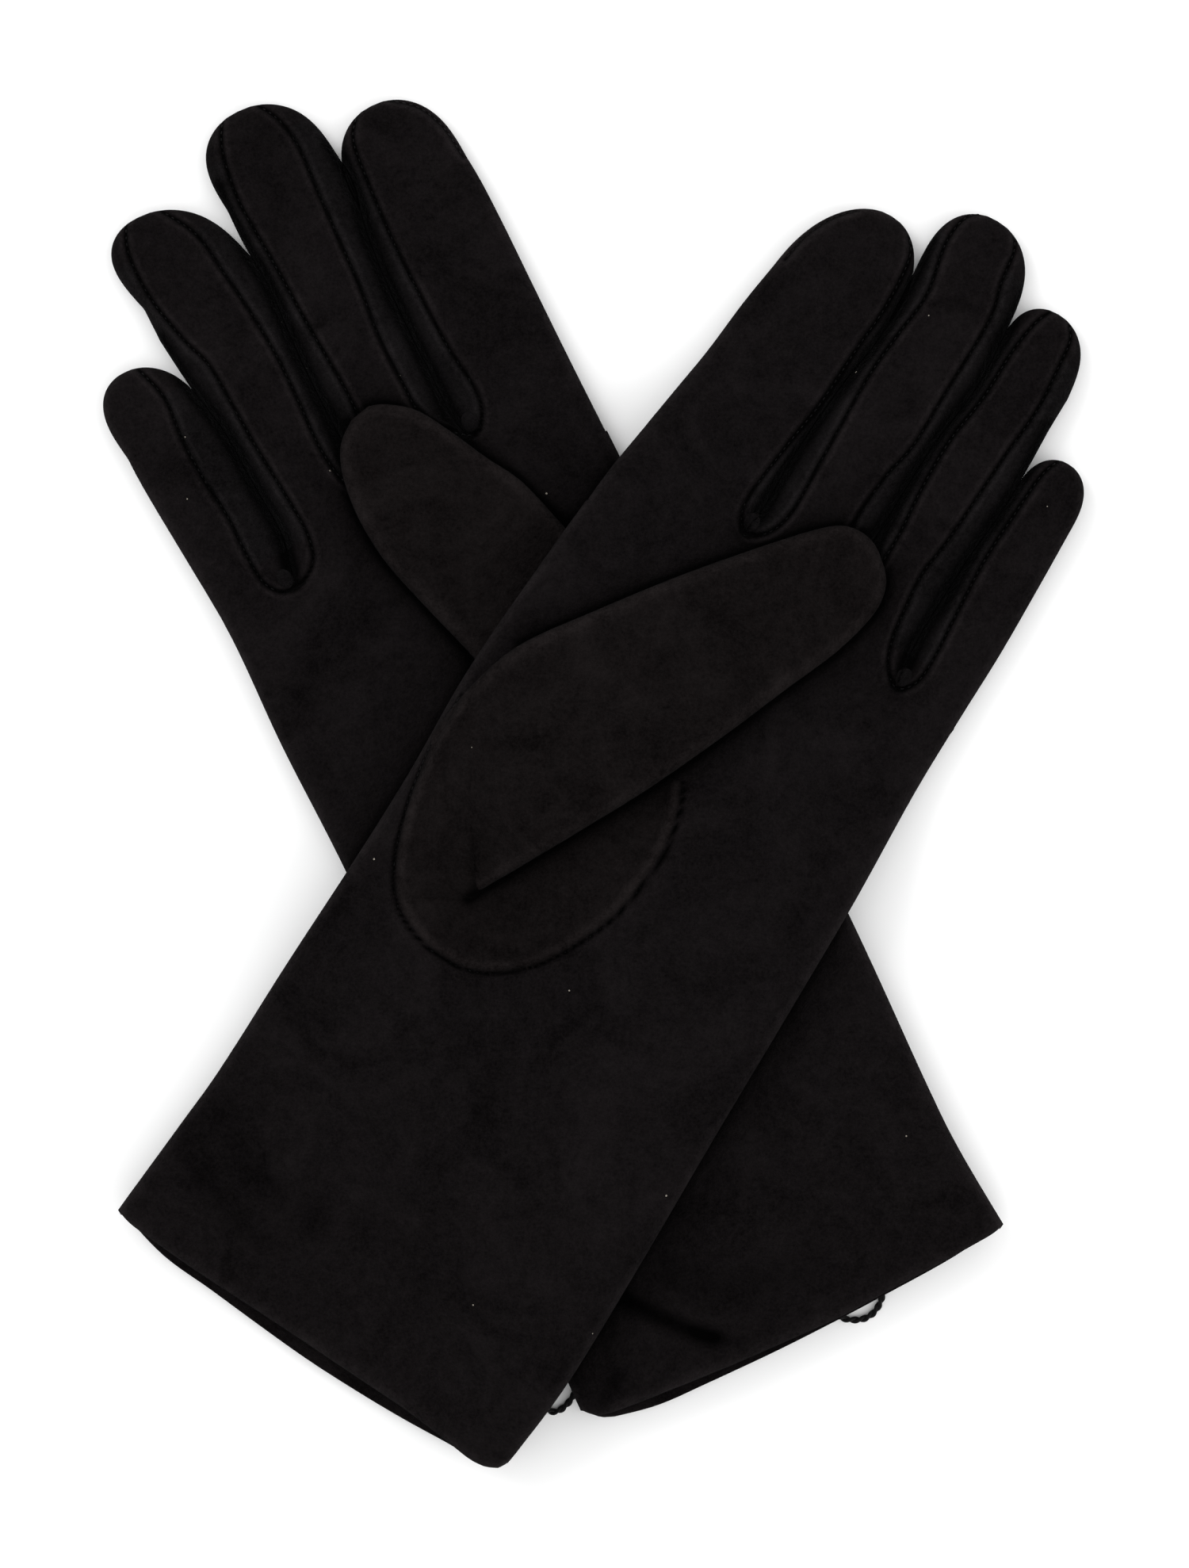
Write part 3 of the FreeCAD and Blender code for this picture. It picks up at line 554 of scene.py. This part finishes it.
def suede(name, dark, light, nap, sheen):
    """Napped leather: brushed patches, a soft pile, lint, and painted light from the mesh: painted highlight
    on lips and edges, painted shade in grooves, folds and creases, and painted contact shadows.
    """
    material, tree, shader, coords = blank(name)
    brushed = noise(tree, coords, 42, 5, 0.62, 1.2)
    mottle = noise(tree, coords, 420, 3, 0.65, 0.3)
    pile = noise(tree, coords, 1500, 3, 0.8)
    mix = maths(tree, "ADD", maths(tree, "MULTIPLY", brushed, 0.40), maths(tree, "MULTIPLY", mottle, 0.22))
    mix = maths(tree, "ADD", mix, maths(tree, "MULTIPLY", pile, 0.38))
    colour = ramp(tree, mix, [(0.38, dark), (0.62, light)])
    # The mesh's painted light: painted highlight brightens the colour, painted shade darkens it.
    tone = node(tree, "ShaderNodeAttribute", _attribute_name="tone").outputs["Fac"]
    painted_shading = maths(tree, "MULTIPLY", tone, maths(tree, "ADD", mottle, 0.55))
    gain = maths(tree, "MAXIMUM", maths(tree, "ADD", maths(tree, "MULTIPLY", painted_shading, 0.95), 1.0), 0.12)
    shaded = node(tree, "ShaderNodeVectorMath", _operation="SCALE", in0=colour)
    tree.links.new(gain, shaded.inputs["Scale"])
    colour = lint(tree, coords, shaded.outputs[0])
    height = maths(tree, "ADD", maths(tree, "MULTIPLY", pile, 0.6), maths(tree, "MULTIPLY", mottle, 1.0))
    height = maths(tree, "ADD", height, maths(tree, "MULTIPLY", brushed, 2.0))
    surface(tree, shader, colour, height, nap, 0.0008, Roughness=1.0, Specular_IOR_Level=0.015,
            Sheen_Weight=sheen, Sheen_Roughness=0.3, Sheen_Tint=(0.95, 0.93, 0.96, 1))
    return material


def lint(tree, coords, colour):
    """A few pale specks of dust caught in the nap."""
    cells = node(tree, "ShaderNodeTexVoronoi", Vector=coords, Scale=190.0)
    near = maths(tree, "LESS_THAN", cells.outputs["Distance"], 0.04)
    split = node(tree, "ShaderNodeSeparateColor", Color=cells.outputs["Color"])
    chosen = maths(tree, "GREATER_THAN", split.outputs[0], 0.86)
    both = maths(tree, "MULTIPLY", near, chosen)
    mixed = node(tree, "ShaderNodeMix", _data_type="RGBA", in0=both, in6=colour, in7=(0.22, 0.20, 0.17, 1))
    return mixed.outputs[2]


def knit():
    """The fine knitted lining."""
    material, tree, shader, coords = blank("lining_knit")
    ribs = node(tree, "ShaderNodeTexWave", Vector=coords, Scale=420.0, Distortion=1.2, Detail=1.0)
    height = ribs.outputs["Fac"]
    colour = ramp(tree, height, [(0.2, (0.0022, 0.0022, 0.0026)), (0.8, (0.007, 0.0068, 0.0075))])
    surface(tree, shader, colour, height, 0.6, 0.0003, Roughness=0.85, Specular_IOR_Level=0.08,
            Sheen_Weight=0.05)
    return material


def yarn(name, dark, light, scale):
    """Twisted thread with loose fibres."""
    material, tree, shader, coords = blank(name)
    fibres = noise(tree, coords, scale, 3, 0.7, 0.5)
    colour = ramp(tree, fibres, [(0.35, dark), (0.68, light)])
    surface(tree, shader, colour, fibres, 0.5, 0.0002, Roughness=0.8, Specular_IOR_Level=0.08,
            Sheen_Weight=0.05)
    return material


# ---------------------------------------------------------------- mesh building

def placed(name, data):
    """A new object in the scene."""
    made = bpy.data.objects.new(name, data)
    bpy.context.scene.collection.objects.link(made)
    return made


def make_object(name, points, faces, material, body, tone=None):
    """A smooth piece from points in metres. Its last argument is painted light on the points: painted
    highlight above 0, painted shade below 0.
    """
    used = sorted({i for face in faces for i in face})
    index = {old: new for new, old in enumerate(used)}
    mesh = bpy.data.meshes.new(name)
    mesh.from_pydata([tuple(points[i]) for i in used], [], [tuple(index[i] for i in face) for face in faces])
    mesh.validate()
    mesh.polygons.foreach_set("use_smooth", [True] * len(mesh.polygons))
    shade = mesh.attributes.new("tone", "FLOAT", "POINT")
    shade.data.foreach_set("value", [0.0] * len(used) if tone is None else np.asarray(tone, float)[used])
    mesh.materials.append(material)
    made = placed(name, mesh)
    if body:
        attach(made, body)
    return made


def grid_faces(rows, columns, start, flip=False):
    """Quads over a grid of points that starts at an index."""
    faces = []
    for r in range(rows - 1):
        base = start + r * columns
        for c in range(columns - 1):
            quad = (base + c, base + c + 1, base + columns + c + 1, base + columns + c)
            faces.append(quad[::-1] if flip else quad)
    return faces


def strip(first, second, flip=False):
    """Quads between two equal runs of point indices."""
    faces = []
    for a, b, c, d in zip(first, first[1:], second[1:], second):
        faces.append((d, c, b, a) if flip else (a, b, c, d))
    return faces


def ring(base, count):
    """The indices of points set in a circle, back to the first."""
    return [base + k for k in range(count)] + [base]


def pillow(top, bottom):
    """A closed skin's points, then its upper faces, its lower faces and those round its sides."""
    rows, columns = top.shape[:2]
    points = np.concatenate([top.reshape(-1, 3), bottom.reshape(-1, 3)])
    under = rows * columns
    ends = []
    for row in (0, rows - 1):
        upper = [row * columns + c for c in range(columns)]
        lower = [under + i for i in upper]
        ends += strip(upper, lower, flip=row == 0)
    for column in (0, columns - 1):
        upper = [r * columns + column for r in range(rows)]
        lower = [under + i for i in upper]
        ends += strip(upper, lower, flip=column > 0)
    return points, grid_faces(rows, columns, 0), grid_faces(rows, columns, under, True), ends


def edge_spread(count, power=0.62):
    """Places from 0 to 1, closer together at both ends."""
    t = np.linspace(-1, 1, count)
    return 0.5 + 0.5 * np.sign(t) * np.abs(np.sin(np.abs(t) * math.pi / 2)) ** power * np.abs(t) ** 0.35


def weld(made, distance=0.00002):
    """Joins points that meet."""
    work = bmesh.new()
    work.from_mesh(made.data)
    bmesh.ops.remove_doubles(work, verts=work.verts, dist=distance)
    bmesh.ops.recalc_face_normals(work, faces=work.faces)
    work.to_mesh(made.data)
    work.free()
    made.data.set_sharp_from_angle(angle=SHARP)


def inside_oval(hand, x, y):
    """Whether points lie inside the thumb's base seam."""
    inside = np.zeros(x.shape, bool)
    for (x1, y1), (x2, y2) in zip(hand.oval, np.roll(hand.oval, -1, 0)):
        crosses = (y1 > y) != (y2 > y)
        at = x1 + (y - y1) / np.where(abs(y2 - y1) < 1e-9, 1e-9, y2 - y1) * (x2 - x1)
        inside ^= crosses & (x < at)
    return inside


def build_hand(hand, looks):
    """Cuff and palm as one skin open at the hem, with the thumb's base as its own piece."""
    glove = hand.glove
    rows, columns = 250, 150
    s = edge_spread(columns)
    low = FINGER_START[glove]
    grids = []
    for hem in HEMS[glove]:
        hem_line = spline(hem, 2.0)
        t = np.linspace(0, 1, rows)[:, None]
        y = np.zeros((rows, columns)) + t * low
        for _ in range(3):
            x = along(PALM_SIDES[glove][0], y) * (1 - s) + along(PALM_SIDES[glove][1], y) * s
            start = np.interp(x, hem_line[:, 0], hem_line[:, 1])
            y = start + (low - start) * t
        grids.append((x, y))
    (tx, ty), (bx, by) = grids
    tz = hand.top(tx, ty) + hem_roll(ty - ty[0])
    bz = hand.bottom(bx, by)
    top, bottom = lay(glove, tx, ty, tz), lay(glove, bx, by, bz)
    points, upper, lower, ends = pillow(top, bottom)
    closing = ends[columns - 1:]
    oval = inside_oval(hand, tx, ty)
    in_oval = [oval.flat[face[0]] and oval.flat[face[2]] for face in upper]
    inner_points, inner_faces = cuff_inside(hand, grids, (tz, bz), len(points))
    everything = np.concatenate([points, inner_points])
    tone = np.zeros(len(everything))
    # Painted highlight and shade on the palm, plus a painted highlight along the hem's rolled edge.
    tone[:tx.size] = (hand.tone(tx, ty) + 0.5 * bell(ty - ty[0], 1.6)).ravel()
    palm_faces = [face for face, inner in zip(upper, in_oval) if not inner]
    base_faces = [face for face, inner in zip(upper, in_oval) if inner]
    trank = make_object(f"{glove}_trank_skin", everything, palm_faces + lower + closing + inner_faces,
                        looks["suede"], f"{glove}_palm", tone)
    weld(trank)
    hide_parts(f"{glove}_trank", f"{glove}_finger_roots", f"{glove}_hem_facing")
    base = make_object(f"{glove}_thumb_base_skin", everything, base_faces, looks["suede_thumb"],
                       f"{glove}_palm", tone)
    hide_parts(f"{glove}_thumb_base")
    build_lining(hand, grids, (tz, bz), looks)


def hem_roll(distance):
    """The hem's turned edge: a soft roll at the edge, and a faint dip where the fold inside ends."""
    return -0.9 * np.exp(-distance / 0.8) + 0.15 * bell(distance - 3, 2.0) - 0.12 * bell(distance - 12.0, 1.2)


def shrunk(hand, x, y, z, wall):
    """The same place on the inside of the leather."""
    left, right = along(PALM_SIDES[hand.glove][0], y), along(PALM_SIDES[hand.glove][1], y)
    middle, half = (left + right) / 2, (right - left) / 2
    full = hand.thickness(x, y)
    centre = full * MID
    inner_z = centre + (z - centre) * (full / 2 - wall) / (full / 2)
    return middle + (x - middle) * (half - 1.2 * wall) / half, y, inner_z


def cuff_inside(hand, grids, heights, offset):
    """The turned hem: a rounded lip and the first stretch of the inside."""
    glove = hand.glove
    (tx, ty), (bx, by) = grids
    tz, bz = heights
    points, faces = [], []
    columns = tx.shape[1]
    under = tx.size
    # (share of the wall's thickness, distance in from the hem)
    depths = [(0.5, -0.55), (1.0, -0.35)] + [(1.0, d) for d in np.linspace(0.6, HEM_DEPTH, 12)]
    for x, y, z, first, flip in ((tx[0], ty[0], tz[0], 0, True), (bx[0], by[0], bz[0], under, False)):
        previous = [first + c for c in range(columns)]
        for share, depth in depths:
            row_y = y + depth
            ix, iy, iz = shrunk(hand, x, row_y, z, HEM_WALL * share)
            new = [offset + len(points) * columns + c for c in range(columns)]
            points.append(lay(glove, ix, iy, iz))
            faces += strip(previous, new, flip)
            previous = new
    return np.concatenate(points), faces


def build_lining(hand, grids, heights, looks):
    """The knitted tube inside the cuff, closed at its far end."""
    glove = hand.glove
    loops = []
    for depth in np.linspace(LINING_START, LINING_DEPTH, 34):
        ring_points = []
        for (x, y), z, order in ((grids[0], heights[0], 1), (grids[1], heights[1], -1)):
            middle = y[:, y.shape[1] // 2]
            row = int(np.argmin(np.abs(middle - middle[0] - depth)))
            ix, iy, iz = shrunk(hand, x[row], y[row], z[row], LINING_WALL)
            ring_points.append(lay(glove, ix, iy, iz)[::order][::3])
        loops.append(np.concatenate(ring_points))
    count = len(loops[0])
    points = np.concatenate(loops)
    faces = []
    for r in range(len(loops) - 1):
        faces += strip(ring(r * count, count), ring((r + 1) * count, count))
    faces.append(tuple((len(loops) - 1) * count + c for c in range(count)))
    lining = make_object(f"{glove}_cuff_lining", points, faces, looks["lining"], f"{glove}_palm")
    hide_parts(f"{glove}_hand_lining")


def seam_side(hand, finger, side, y):
    """x of the palm-side seam beside one side of a finger."""
    order = FINGERS.index(finger)
    line = hand.seams[GAPS[order if side else order - 1]]
    low = int(np.argmin(line[:, 1]))
    part = line[low:] if side == 0 else line[:low + 1][::-1]
    return np.interp(y, part[:, 1], part[:, 0])


def build_finger(hand, finger, looks):
    """One finger: palm and back leather, with its side walls as pieces of their own."""
    glove = hand.glove
    start, tip = FINGER_START[glove], TIPS[glove][finger][1][1]
    rows, columns = 150, 60
    t = np.linspace(0, 1, rows)
    y = (start + (tip - start) * (0.55 * t + 0.45 * np.sin(t * math.pi / 2)))[:, None]
    left, right = finger_sides(glove, finger, y)
    s = edge_spread(columns)
    x = left * (1 - s) + right * s
    y = np.broadcast_to(y, x.shape)
    top = lay(glove, x, y, hand.top(x, y))
    bottom = lay(glove, x, y, hand.bottom(x, y))
    points, upper, lower, ends = pillow(top, bottom)
    groups = {"stall": list(ends), "thumb_side": [], "pinky_side": []}
    # Painted highlight and shade on the finger's palm side, none on its back.
    tone = np.concatenate([hand.tone(x, y).ravel(), np.zeros(x.size)])
    flat_x, flat_y = x.ravel(), y.ravel()
    walls = []
    if finger != "index":
        walls.append(("thumb_side", 0))
    if finger != "pinky":
        walls.append(("pinky_side", 1))
    limits = {name: seam_side(hand, finger, side, flat_y) for name, side in walls}
    for faces, shift in ((upper, 0), (lower, x.size)):
        for face in faces:
            corner = min(face) - shift
            group = "stall"
            for name, side in walls:
                outward = flat_x[corner] - limits[name][corner]
                beyond = outward > 0 if side else outward < 0
                if beyond and start + WALL_START < flat_y[corner] < tip - WALL_END:
                    group = name
            groups[group].append(face)
    for group, faces in groups.items():
        if not faces:
            continue
        is_wall = group != "stall"
        name = f"{glove}_{finger}_fourchette_{group}" if is_wall else f"{glove}_{finger}_stall"
        look = "suede_side" if is_wall else "suede"
        made = make_object(f"{name}_skin", points, faces, looks[look], None, tone)
        if not is_wall:
            weld(made)
        bend_finger(made)
        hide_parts(name)
        if not is_wall:
            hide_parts(f"{glove}_{finger}_lining")


def bend_finger(made):
    """Bakes a piece's placement into its points."""
    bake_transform(made)


def thumb_shape(glove):
    """The folded thumb's rows, smoothly spaced from the fold to the tip."""
    pairs = [(a[0], a[1], b[0], b[1], thick) for a, b, thick in THUMB[glove]]
    p = np.array(pairs, float)
    p = np.vstack([2 * p[0] - p[1], p, p[-1] + 0.4 * (p[-1] - p[-2])])
    rows, marks = [], []
    for a, b, c, d in zip(p, p[1:], p[2:], p[3:]):
        marks.append(len(rows))
        count = max(4, int(np.abs((c - b)[:4]).max() / 0.9))
        for t in np.linspace(0, 1, count, endpoint=False):
            rows.append(0.5 * (2 * b + (c - a) * t + (2 * a - 5 * b + 4 * c - d) * t ** 2
                               + (3 * b - a - 3 * c + d) * t ** 3))
    marks.append(len(rows))
    rows.append(p[-2])
    return np.array(rows), marks


def thumb_surfaces(hand):
    """Top and bottom heights of the thumb over its rows."""
    rows, marks = thumb_shape(hand.glove)
    s = edge_spread(56)
    x = rows[:, :1] * (1 - s) + rows[:, 2:3] * s
    y = rows[:, 1:2] * (1 - s) + rows[:, 3:4] * s
    outline = np.vstack([rows[:, :2], rows[::-1, 2:4]])
    d = np.clip(line_distance(x, y, outline) / 5.0, 0, 1)
    p = np.sqrt(np.clip(1 - (1 - d) ** 2, 0, 1))
    thick = rows[:, 4:5]
    crown = 0.8 * (1 - (2 * s - 1) ** 2) * np.minimum(1, thick / 5)
    waves = ripple(x, y, 8, (30, 14, 7), (0.3, 0.16, 0.05))
    top = THUMB_LIFT + thick * (0.4 + 0.6 * p) + (crown + waves) * p
    bottom = THUMB_LIFT + thick * 0.4 * (1 - p)
    along_row = np.arange(len(rows))[:, None]
    sink = 2.2 * smooth(1 - along_row / marks[FOLD_ROW + 1])
    near_crease = smooth((s - 0.5) / 0.5)
    sink = sink + 3.4 * smooth(1 - along_row / marks[FOLD_ROW + 2]) * near_crease
    sink = sink + 3.0 * smooth(1.6 - along_row / marks[FOLD_ROW]) * near_crease
    return x, y, top - sink, bottom - sink, marks


def build_thumb(hand, looks):
    """The folded thumb in two pieces that meet short of its bend."""
    glove = hand.glove
    x, y, top, bottom, marks = thumb_surfaces(hand)
    upper, lower = lay(glove, x, y, top), lay(glove, x, y, bottom)
    outline = np.vstack([np.stack([x[:, 0], y[:, 0]], -1), np.stack([x[::-1, -1], y[::-1, -1]], -1)])
    bend = marks[BEND_ROW]
    meet = bend - TIP_ROWS
    for name, rows, bodies, row in (
            (f"{glove}_thumb", slice(0, meet + 1), (f"{glove}_palm", f"{glove}_thumb"), marks[FOLD_ROW]),
            (f"{glove}_thumb_tip", slice(meet, None), (f"{glove}_thumb", f"{glove}_thumb_tip"), bend)):
        points, above, below, ends = pillow(upper[rows], lower[rows])
        rim = line_distance(x[rows], y[rows], outline)
        # Painted highlight along the thumb's edges, painted shade on its underside.
        tone = np.concatenate([(0.6 * bell(rim - 1.4, 1.4)).ravel(), np.full(rim.size, -0.6)])
        made = make_object(f"{name}_skin", points, above + below + ends, looks["suede_thumb"], None,
                           tone)
        weld(made)
        bend_thumb(made, glove, bodies, upper[[row, row + 6]])
        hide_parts(name)
        if name.endswith("thumb"):
            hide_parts(f"{glove}_thumb_lining")


def bend_thumb(made, glove, bodies, lines):
    """Rides a thumb piece on its body where the fold doesn't move; otherwise only bakes its placement into
    its points.

    lines are the fold and a line across the thumb a little further on.
    """
    first, second = (b if b in frame["bodies"] else f"{glove}_palm" for b in bodies)
    if first == second:
        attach(made, first)
        return
    here, onward = lines.mean(axis=1)
    side = lines[0, -1] - lines[0, 0]
    ahead = np.array([-side[1], side[0], 0.0])
    ahead *= math.copysign(THUMB_BEND * MM, ahead @ (onward - here)) / np.linalg.norm(ahead)
    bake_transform(made)


# ---------------------------------------------------------------- stitches, quirks and cords

def tube_mesh(paths, radius, sides=6):
    """Round threads along lines of points."""
    points, faces = [], []
    for path in paths:
        path = np.asarray(path, float)
        tangent = np.gradient(path, axis=0)
        tangent /= np.linalg.norm(tangent, axis=1)[:, None]
        normal = np.cross(tangent, (0, 0, 1.0))
        normal /= np.maximum(np.linalg.norm(normal, axis=1), 1e-9)[:, None]
        other = np.cross(normal, tangent)
        base = len(points)
        for i, centre in enumerate(path):
            for k in range(sides):
                a = 2 * math.pi * k / sides
                points.append(centre + radius * (math.cos(a) * normal[i] + math.sin(a) * other[i]))
        for i in range(len(path) - 1):
            for k in range(sides):
                a, b = base + i * sides + k, base + i * sides + (k + 1) % sides
                faces.append((a, b, b + sides, a + sides))
        faces.append(tuple(base + k for k in reversed(range(sides))))
        faces.append(tuple(base + (len(path) - 1) * sides + k for k in range(sides)))
    return np.array(points), faces


def dashes(line, pitch=STITCH_PITCH, length=STITCH_LENGTH):
    """Short stitches one after another along a line of plan points."""
    steps = np.r_[0, np.cumsum(np.hypot(*np.diff(line, axis=0).T))]
    made = []
    for start in np.arange(pitch / 2, steps[-1] - pitch, pitch):
        at = start + np.linspace(0, length, 4)
        made.append(np.stack([np.interp(at, steps, line[:, 0]), np.interp(at, steps, line[:, 1])], -1))
    return made


def stitch_paths(hand, line):
    """Stitches sunk in a seam's groove."""
    paths = []
    arch = np.array([-0.22, 0.06, 0.06, -0.22])
    for dash in dashes(line):
        z = hand.top(dash[:, 0], dash[:, 1]) - 0.02 + arch
        paths.append(lay(hand.glove, dash[:, 0], dash[:, 1], z))
    return paths


def build_stitches(hand, looks):
    """Seam stitches: the crotches and the thumb's base on the palm, and each finger's own."""
    glove = hand.glove
    groups = {"palm": stitch_paths(hand, hand.oval)}
    start = FINGER_START[glove] + 0.5
    for name, line in hand.seams.items():
        first, second = name.split("_")
        low = int(np.argmin(line[:, 1]))
        for finger, part in ((first, line[:low + 1]), (second, line[low:])):
            groups.setdefault(finger, [])
            groups[finger] += stitch_paths(hand, part[part[:, 1] > start])
    groups["index"] += stitch_paths(hand, hand.tip_seam)
    for group, paths in groups.items():
        points, faces = tube_mesh(paths, STITCH * MM, 5)
        body = f"{glove}_palm" if group == "palm" else None
        made = make_object(f"{glove}_{group}_stitches", points, faces, looks["thread"], body)
        if body is None:
            bend_finger(made)


def build_quirks(hand, looks):
    """The little gussets sewn into the crotches."""
    glove = hand.glove
    points, faces = [], []
    for name, line in hand.seams.items():
        x0, y0 = line[int(np.argmin(line[:, 1]))]
        rings = [(0, 1), (0.45, 0.86), (0.8, 0.5), (1.0, 0.0)]
        base = len(points)
        count = 16
        for reach, rise in rings:
            for k in range(count):
                a = 2 * math.pi * k / count
                x = x0 + 1.9 * reach * math.cos(a)
                y = y0 + 2.9 + 2.5 * reach * math.sin(a)
                z = float(hand.top(np.array([x]), np.array([y]))[0]) - 0.25 + 0.95 * rise
                points.append(lay(glove, x, y, z))
        for r in range(len(rings) - 1):
            faces += strip(ring(base + r * count, count), ring(base + (r + 1) * count, count), True)
    made = make_object(f"{glove}_quirk_gussets", np.array(points), faces, looks["suede_side"],
                       f"{glove}_palm")
    weld(made)
    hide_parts(f"{glove}_quirks")


def route_points(glove, route):
    """The points along a cord's smooth line, from a spline through its route."""
    curve = bpy.data.curves.new("route", "CURVE")
    curve.dimensions = "3D"
    line = curve.splines.new("NURBS")
    line.points.add(len(route) - 1)
    for point, (x, y) in zip(line.points, route):
        place = lay(glove, x, y, 0.0)
        point.co = (place[0], place[1], CORD / 2 * MM, 1)
    line.order_u = 3
    line.use_endpoint_u = True
    line.resolution_u = 14
    carrier = placed("route", curve)
    bpy.context.view_layer.update()
    mesh = bpy.data.meshes.new_from_object(carrier)
    points = [tuple(v.co) for v in mesh.vertices]
    bpy.data.objects.remove(carrier)
    bpy.data.meshes.remove(mesh)
    return np.array(points)


def evenly(points, step):
    """The same line with its points a fixed distance apart."""
    steps = np.r_[0, np.cumsum(np.linalg.norm(np.diff(points, axis=0), axis=1))]
    at = np.linspace(0, steps[-1], max(4, int(steps[-1] / step)))
    return np.stack([np.interp(at, steps, points[:, i]) for i in range(3)], -1), steps[-1]


def build_cord(glove, name, route, looks):
    """A limp cord of two strands twisted together."""
    line, length = evenly(route_points(glove, route), 0.0004)
    tangent = np.gradient(line, axis=0)
    tangent /= np.linalg.norm(tangent, axis=1)[:, None]
    aside = np.cross(tangent, (0, 0, 1.0))
    strands = []
    distance = np.linspace(0, length, len(line))
    for phase in (0, math.pi):
        a = 2 * math.pi * distance / (TWIST * MM) + phase
        around = np.cos(a)[:, None] * aside + np.sin(a)[:, None] * np.array([0, 0, 1.0])
        strands.append(line + STRAND * MM * around)
    points, faces = tube_mesh(strands, STRAND * MM, 8)
    made = make_object(f"{glove}_{name}_cord", points, faces, looks["cord"], f"{glove}_palm")
    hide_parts(f"{glove}_bow_{name}")


def build_bow(glove, looks):
    """The bow's loops, tails and knot."""
    for name, route in BOW_ROUTES[glove].items():
        build_cord(glove, name, route, looks)
    low, high = (Vector(v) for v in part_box(f"{glove}_bow_knot"))
    middle = (low + high) / 2
    ex, ey = directions(glove)
    wraps = []
    for k in (-1, 0, 1):
        turn = np.linspace(0, 2 * math.pi, 33)
        across = 2.0 * np.cos(turn) + 0.3 * k
        rise = 0.42 * np.sin(turn)
        centre = np.array(middle) + np.array([*(ex * k * 1.7), 0]) * MM
        wraps.append(centre + (np.outer(across, [*ey, 0]) + np.outer(rise, [0, 0, 1])) * MM)
    points, faces = tube_mesh(wraps, KNOT_CORD * MM, 10)
    knot = make_object(f"{glove}_knot_wraps", points, faces, looks["cord"], f"{glove}_palm")
    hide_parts(f"{glove}_bow_knot")


# ---------------------------------------------------------------- surroundings

def build_floor():
    """A plain white surface under the gloves."""
    mesh = bpy.data.meshes.new("floor")
    far = 3.0
    corners = [(-far, -far, 0), (far, -far, 0), (far, far, 0), (-far, far, 0)]
    mesh.from_pydata(corners, [], [(0, 1, 2, 3)])
    material = bpy.data.materials.new("floor_white")
    material.use_nodes = True
    shader = material.node_tree.nodes["Principled BSDF"]
    shader.inputs["Base Color"].default_value = (0.93, 0.93, 0.93, 1)
    shader.inputs["Roughness"].default_value = 0.9
    mesh.materials.append(material)
    floor = placed("floor", mesh)


def area_light(name, place, size, power):
    """A soft square lamp aimed at the gloves."""
    data = bpy.data.lights.new(name, "AREA")
    data.size = size
    data.energy = power
    lamp = placed(name, data)
    lamp.location = place
    lamp.rotation_euler = (-Vector(place)).to_track_quat("-Z", "Y").to_euler()


def build_light_and_camera():
    """Even studio light, a little stronger from the upper left, and a camera straight above."""
    world = bpy.data.worlds.new("studio")
    world.use_nodes = True
    world.node_tree.nodes["Background"].inputs["Color"].default_value = (1, 1, 1, 1)
    world.node_tree.nodes["Background"].inputs["Strength"].default_value = 1.12
    bpy.context.scene.world = world
    area_light("key", (-0.9, 0.8, 1.1), 0.7, 7)
    area_light("fill", (1.1, -0.5, 0.9), 0.9, 4)
    camera_data = bpy.data.cameras.new("camera")
    camera_data.lens = LENS
    camera_data.sensor_fit = "VERTICAL"
    camera_data.sensor_height = SENSOR
    camera = placed("camera", camera_data)
    camera.location = (-0.0001, 0.0, VIEW_HEIGHT / SENSOR * LENS + 0.002)
    bpy.context.scene.camera = camera
    bpy.context.scene.view_settings.view_transform = "Standard"


def main():
    looks = {
        "suede": suede("suede", (0.0021, 0.0017, 0.0018), (0.0077, 0.0064, 0.0067), 0.8, 0.010),
        "suede_thumb": suede("suede_thumb", (0.0023, 0.0018, 0.0018), (0.0082, 0.0067, 0.0067), 0.8, 0.010),
        "suede_side": suede("suede_side", (0.0021, 0.0018, 0.0019), (0.0084, 0.0074, 0.0078), 1.2, 0.015),
        "lining": knit(),
        "cord": yarn("cord_yarn", (0.0016, 0.0014, 0.0015), (0.0085, 0.0078, 0.0084), 2400),
        "thread": yarn("seam_thread", (0.0016, 0.0014, 0.0015), (0.0062, 0.0056, 0.006), 3000),
    }
    for glove in LAY:
        hand = Hand(glove)
        build_hand(hand, looks)
        for finger in FINGERS:
            build_finger(hand, finger, looks)
        build_thumb(hand, looks)
        build_stitches(hand, looks)
        build_quirks(hand, looks)
        build_bow(glove, looks)
    build_floor()
    build_light_and_camera()


main()
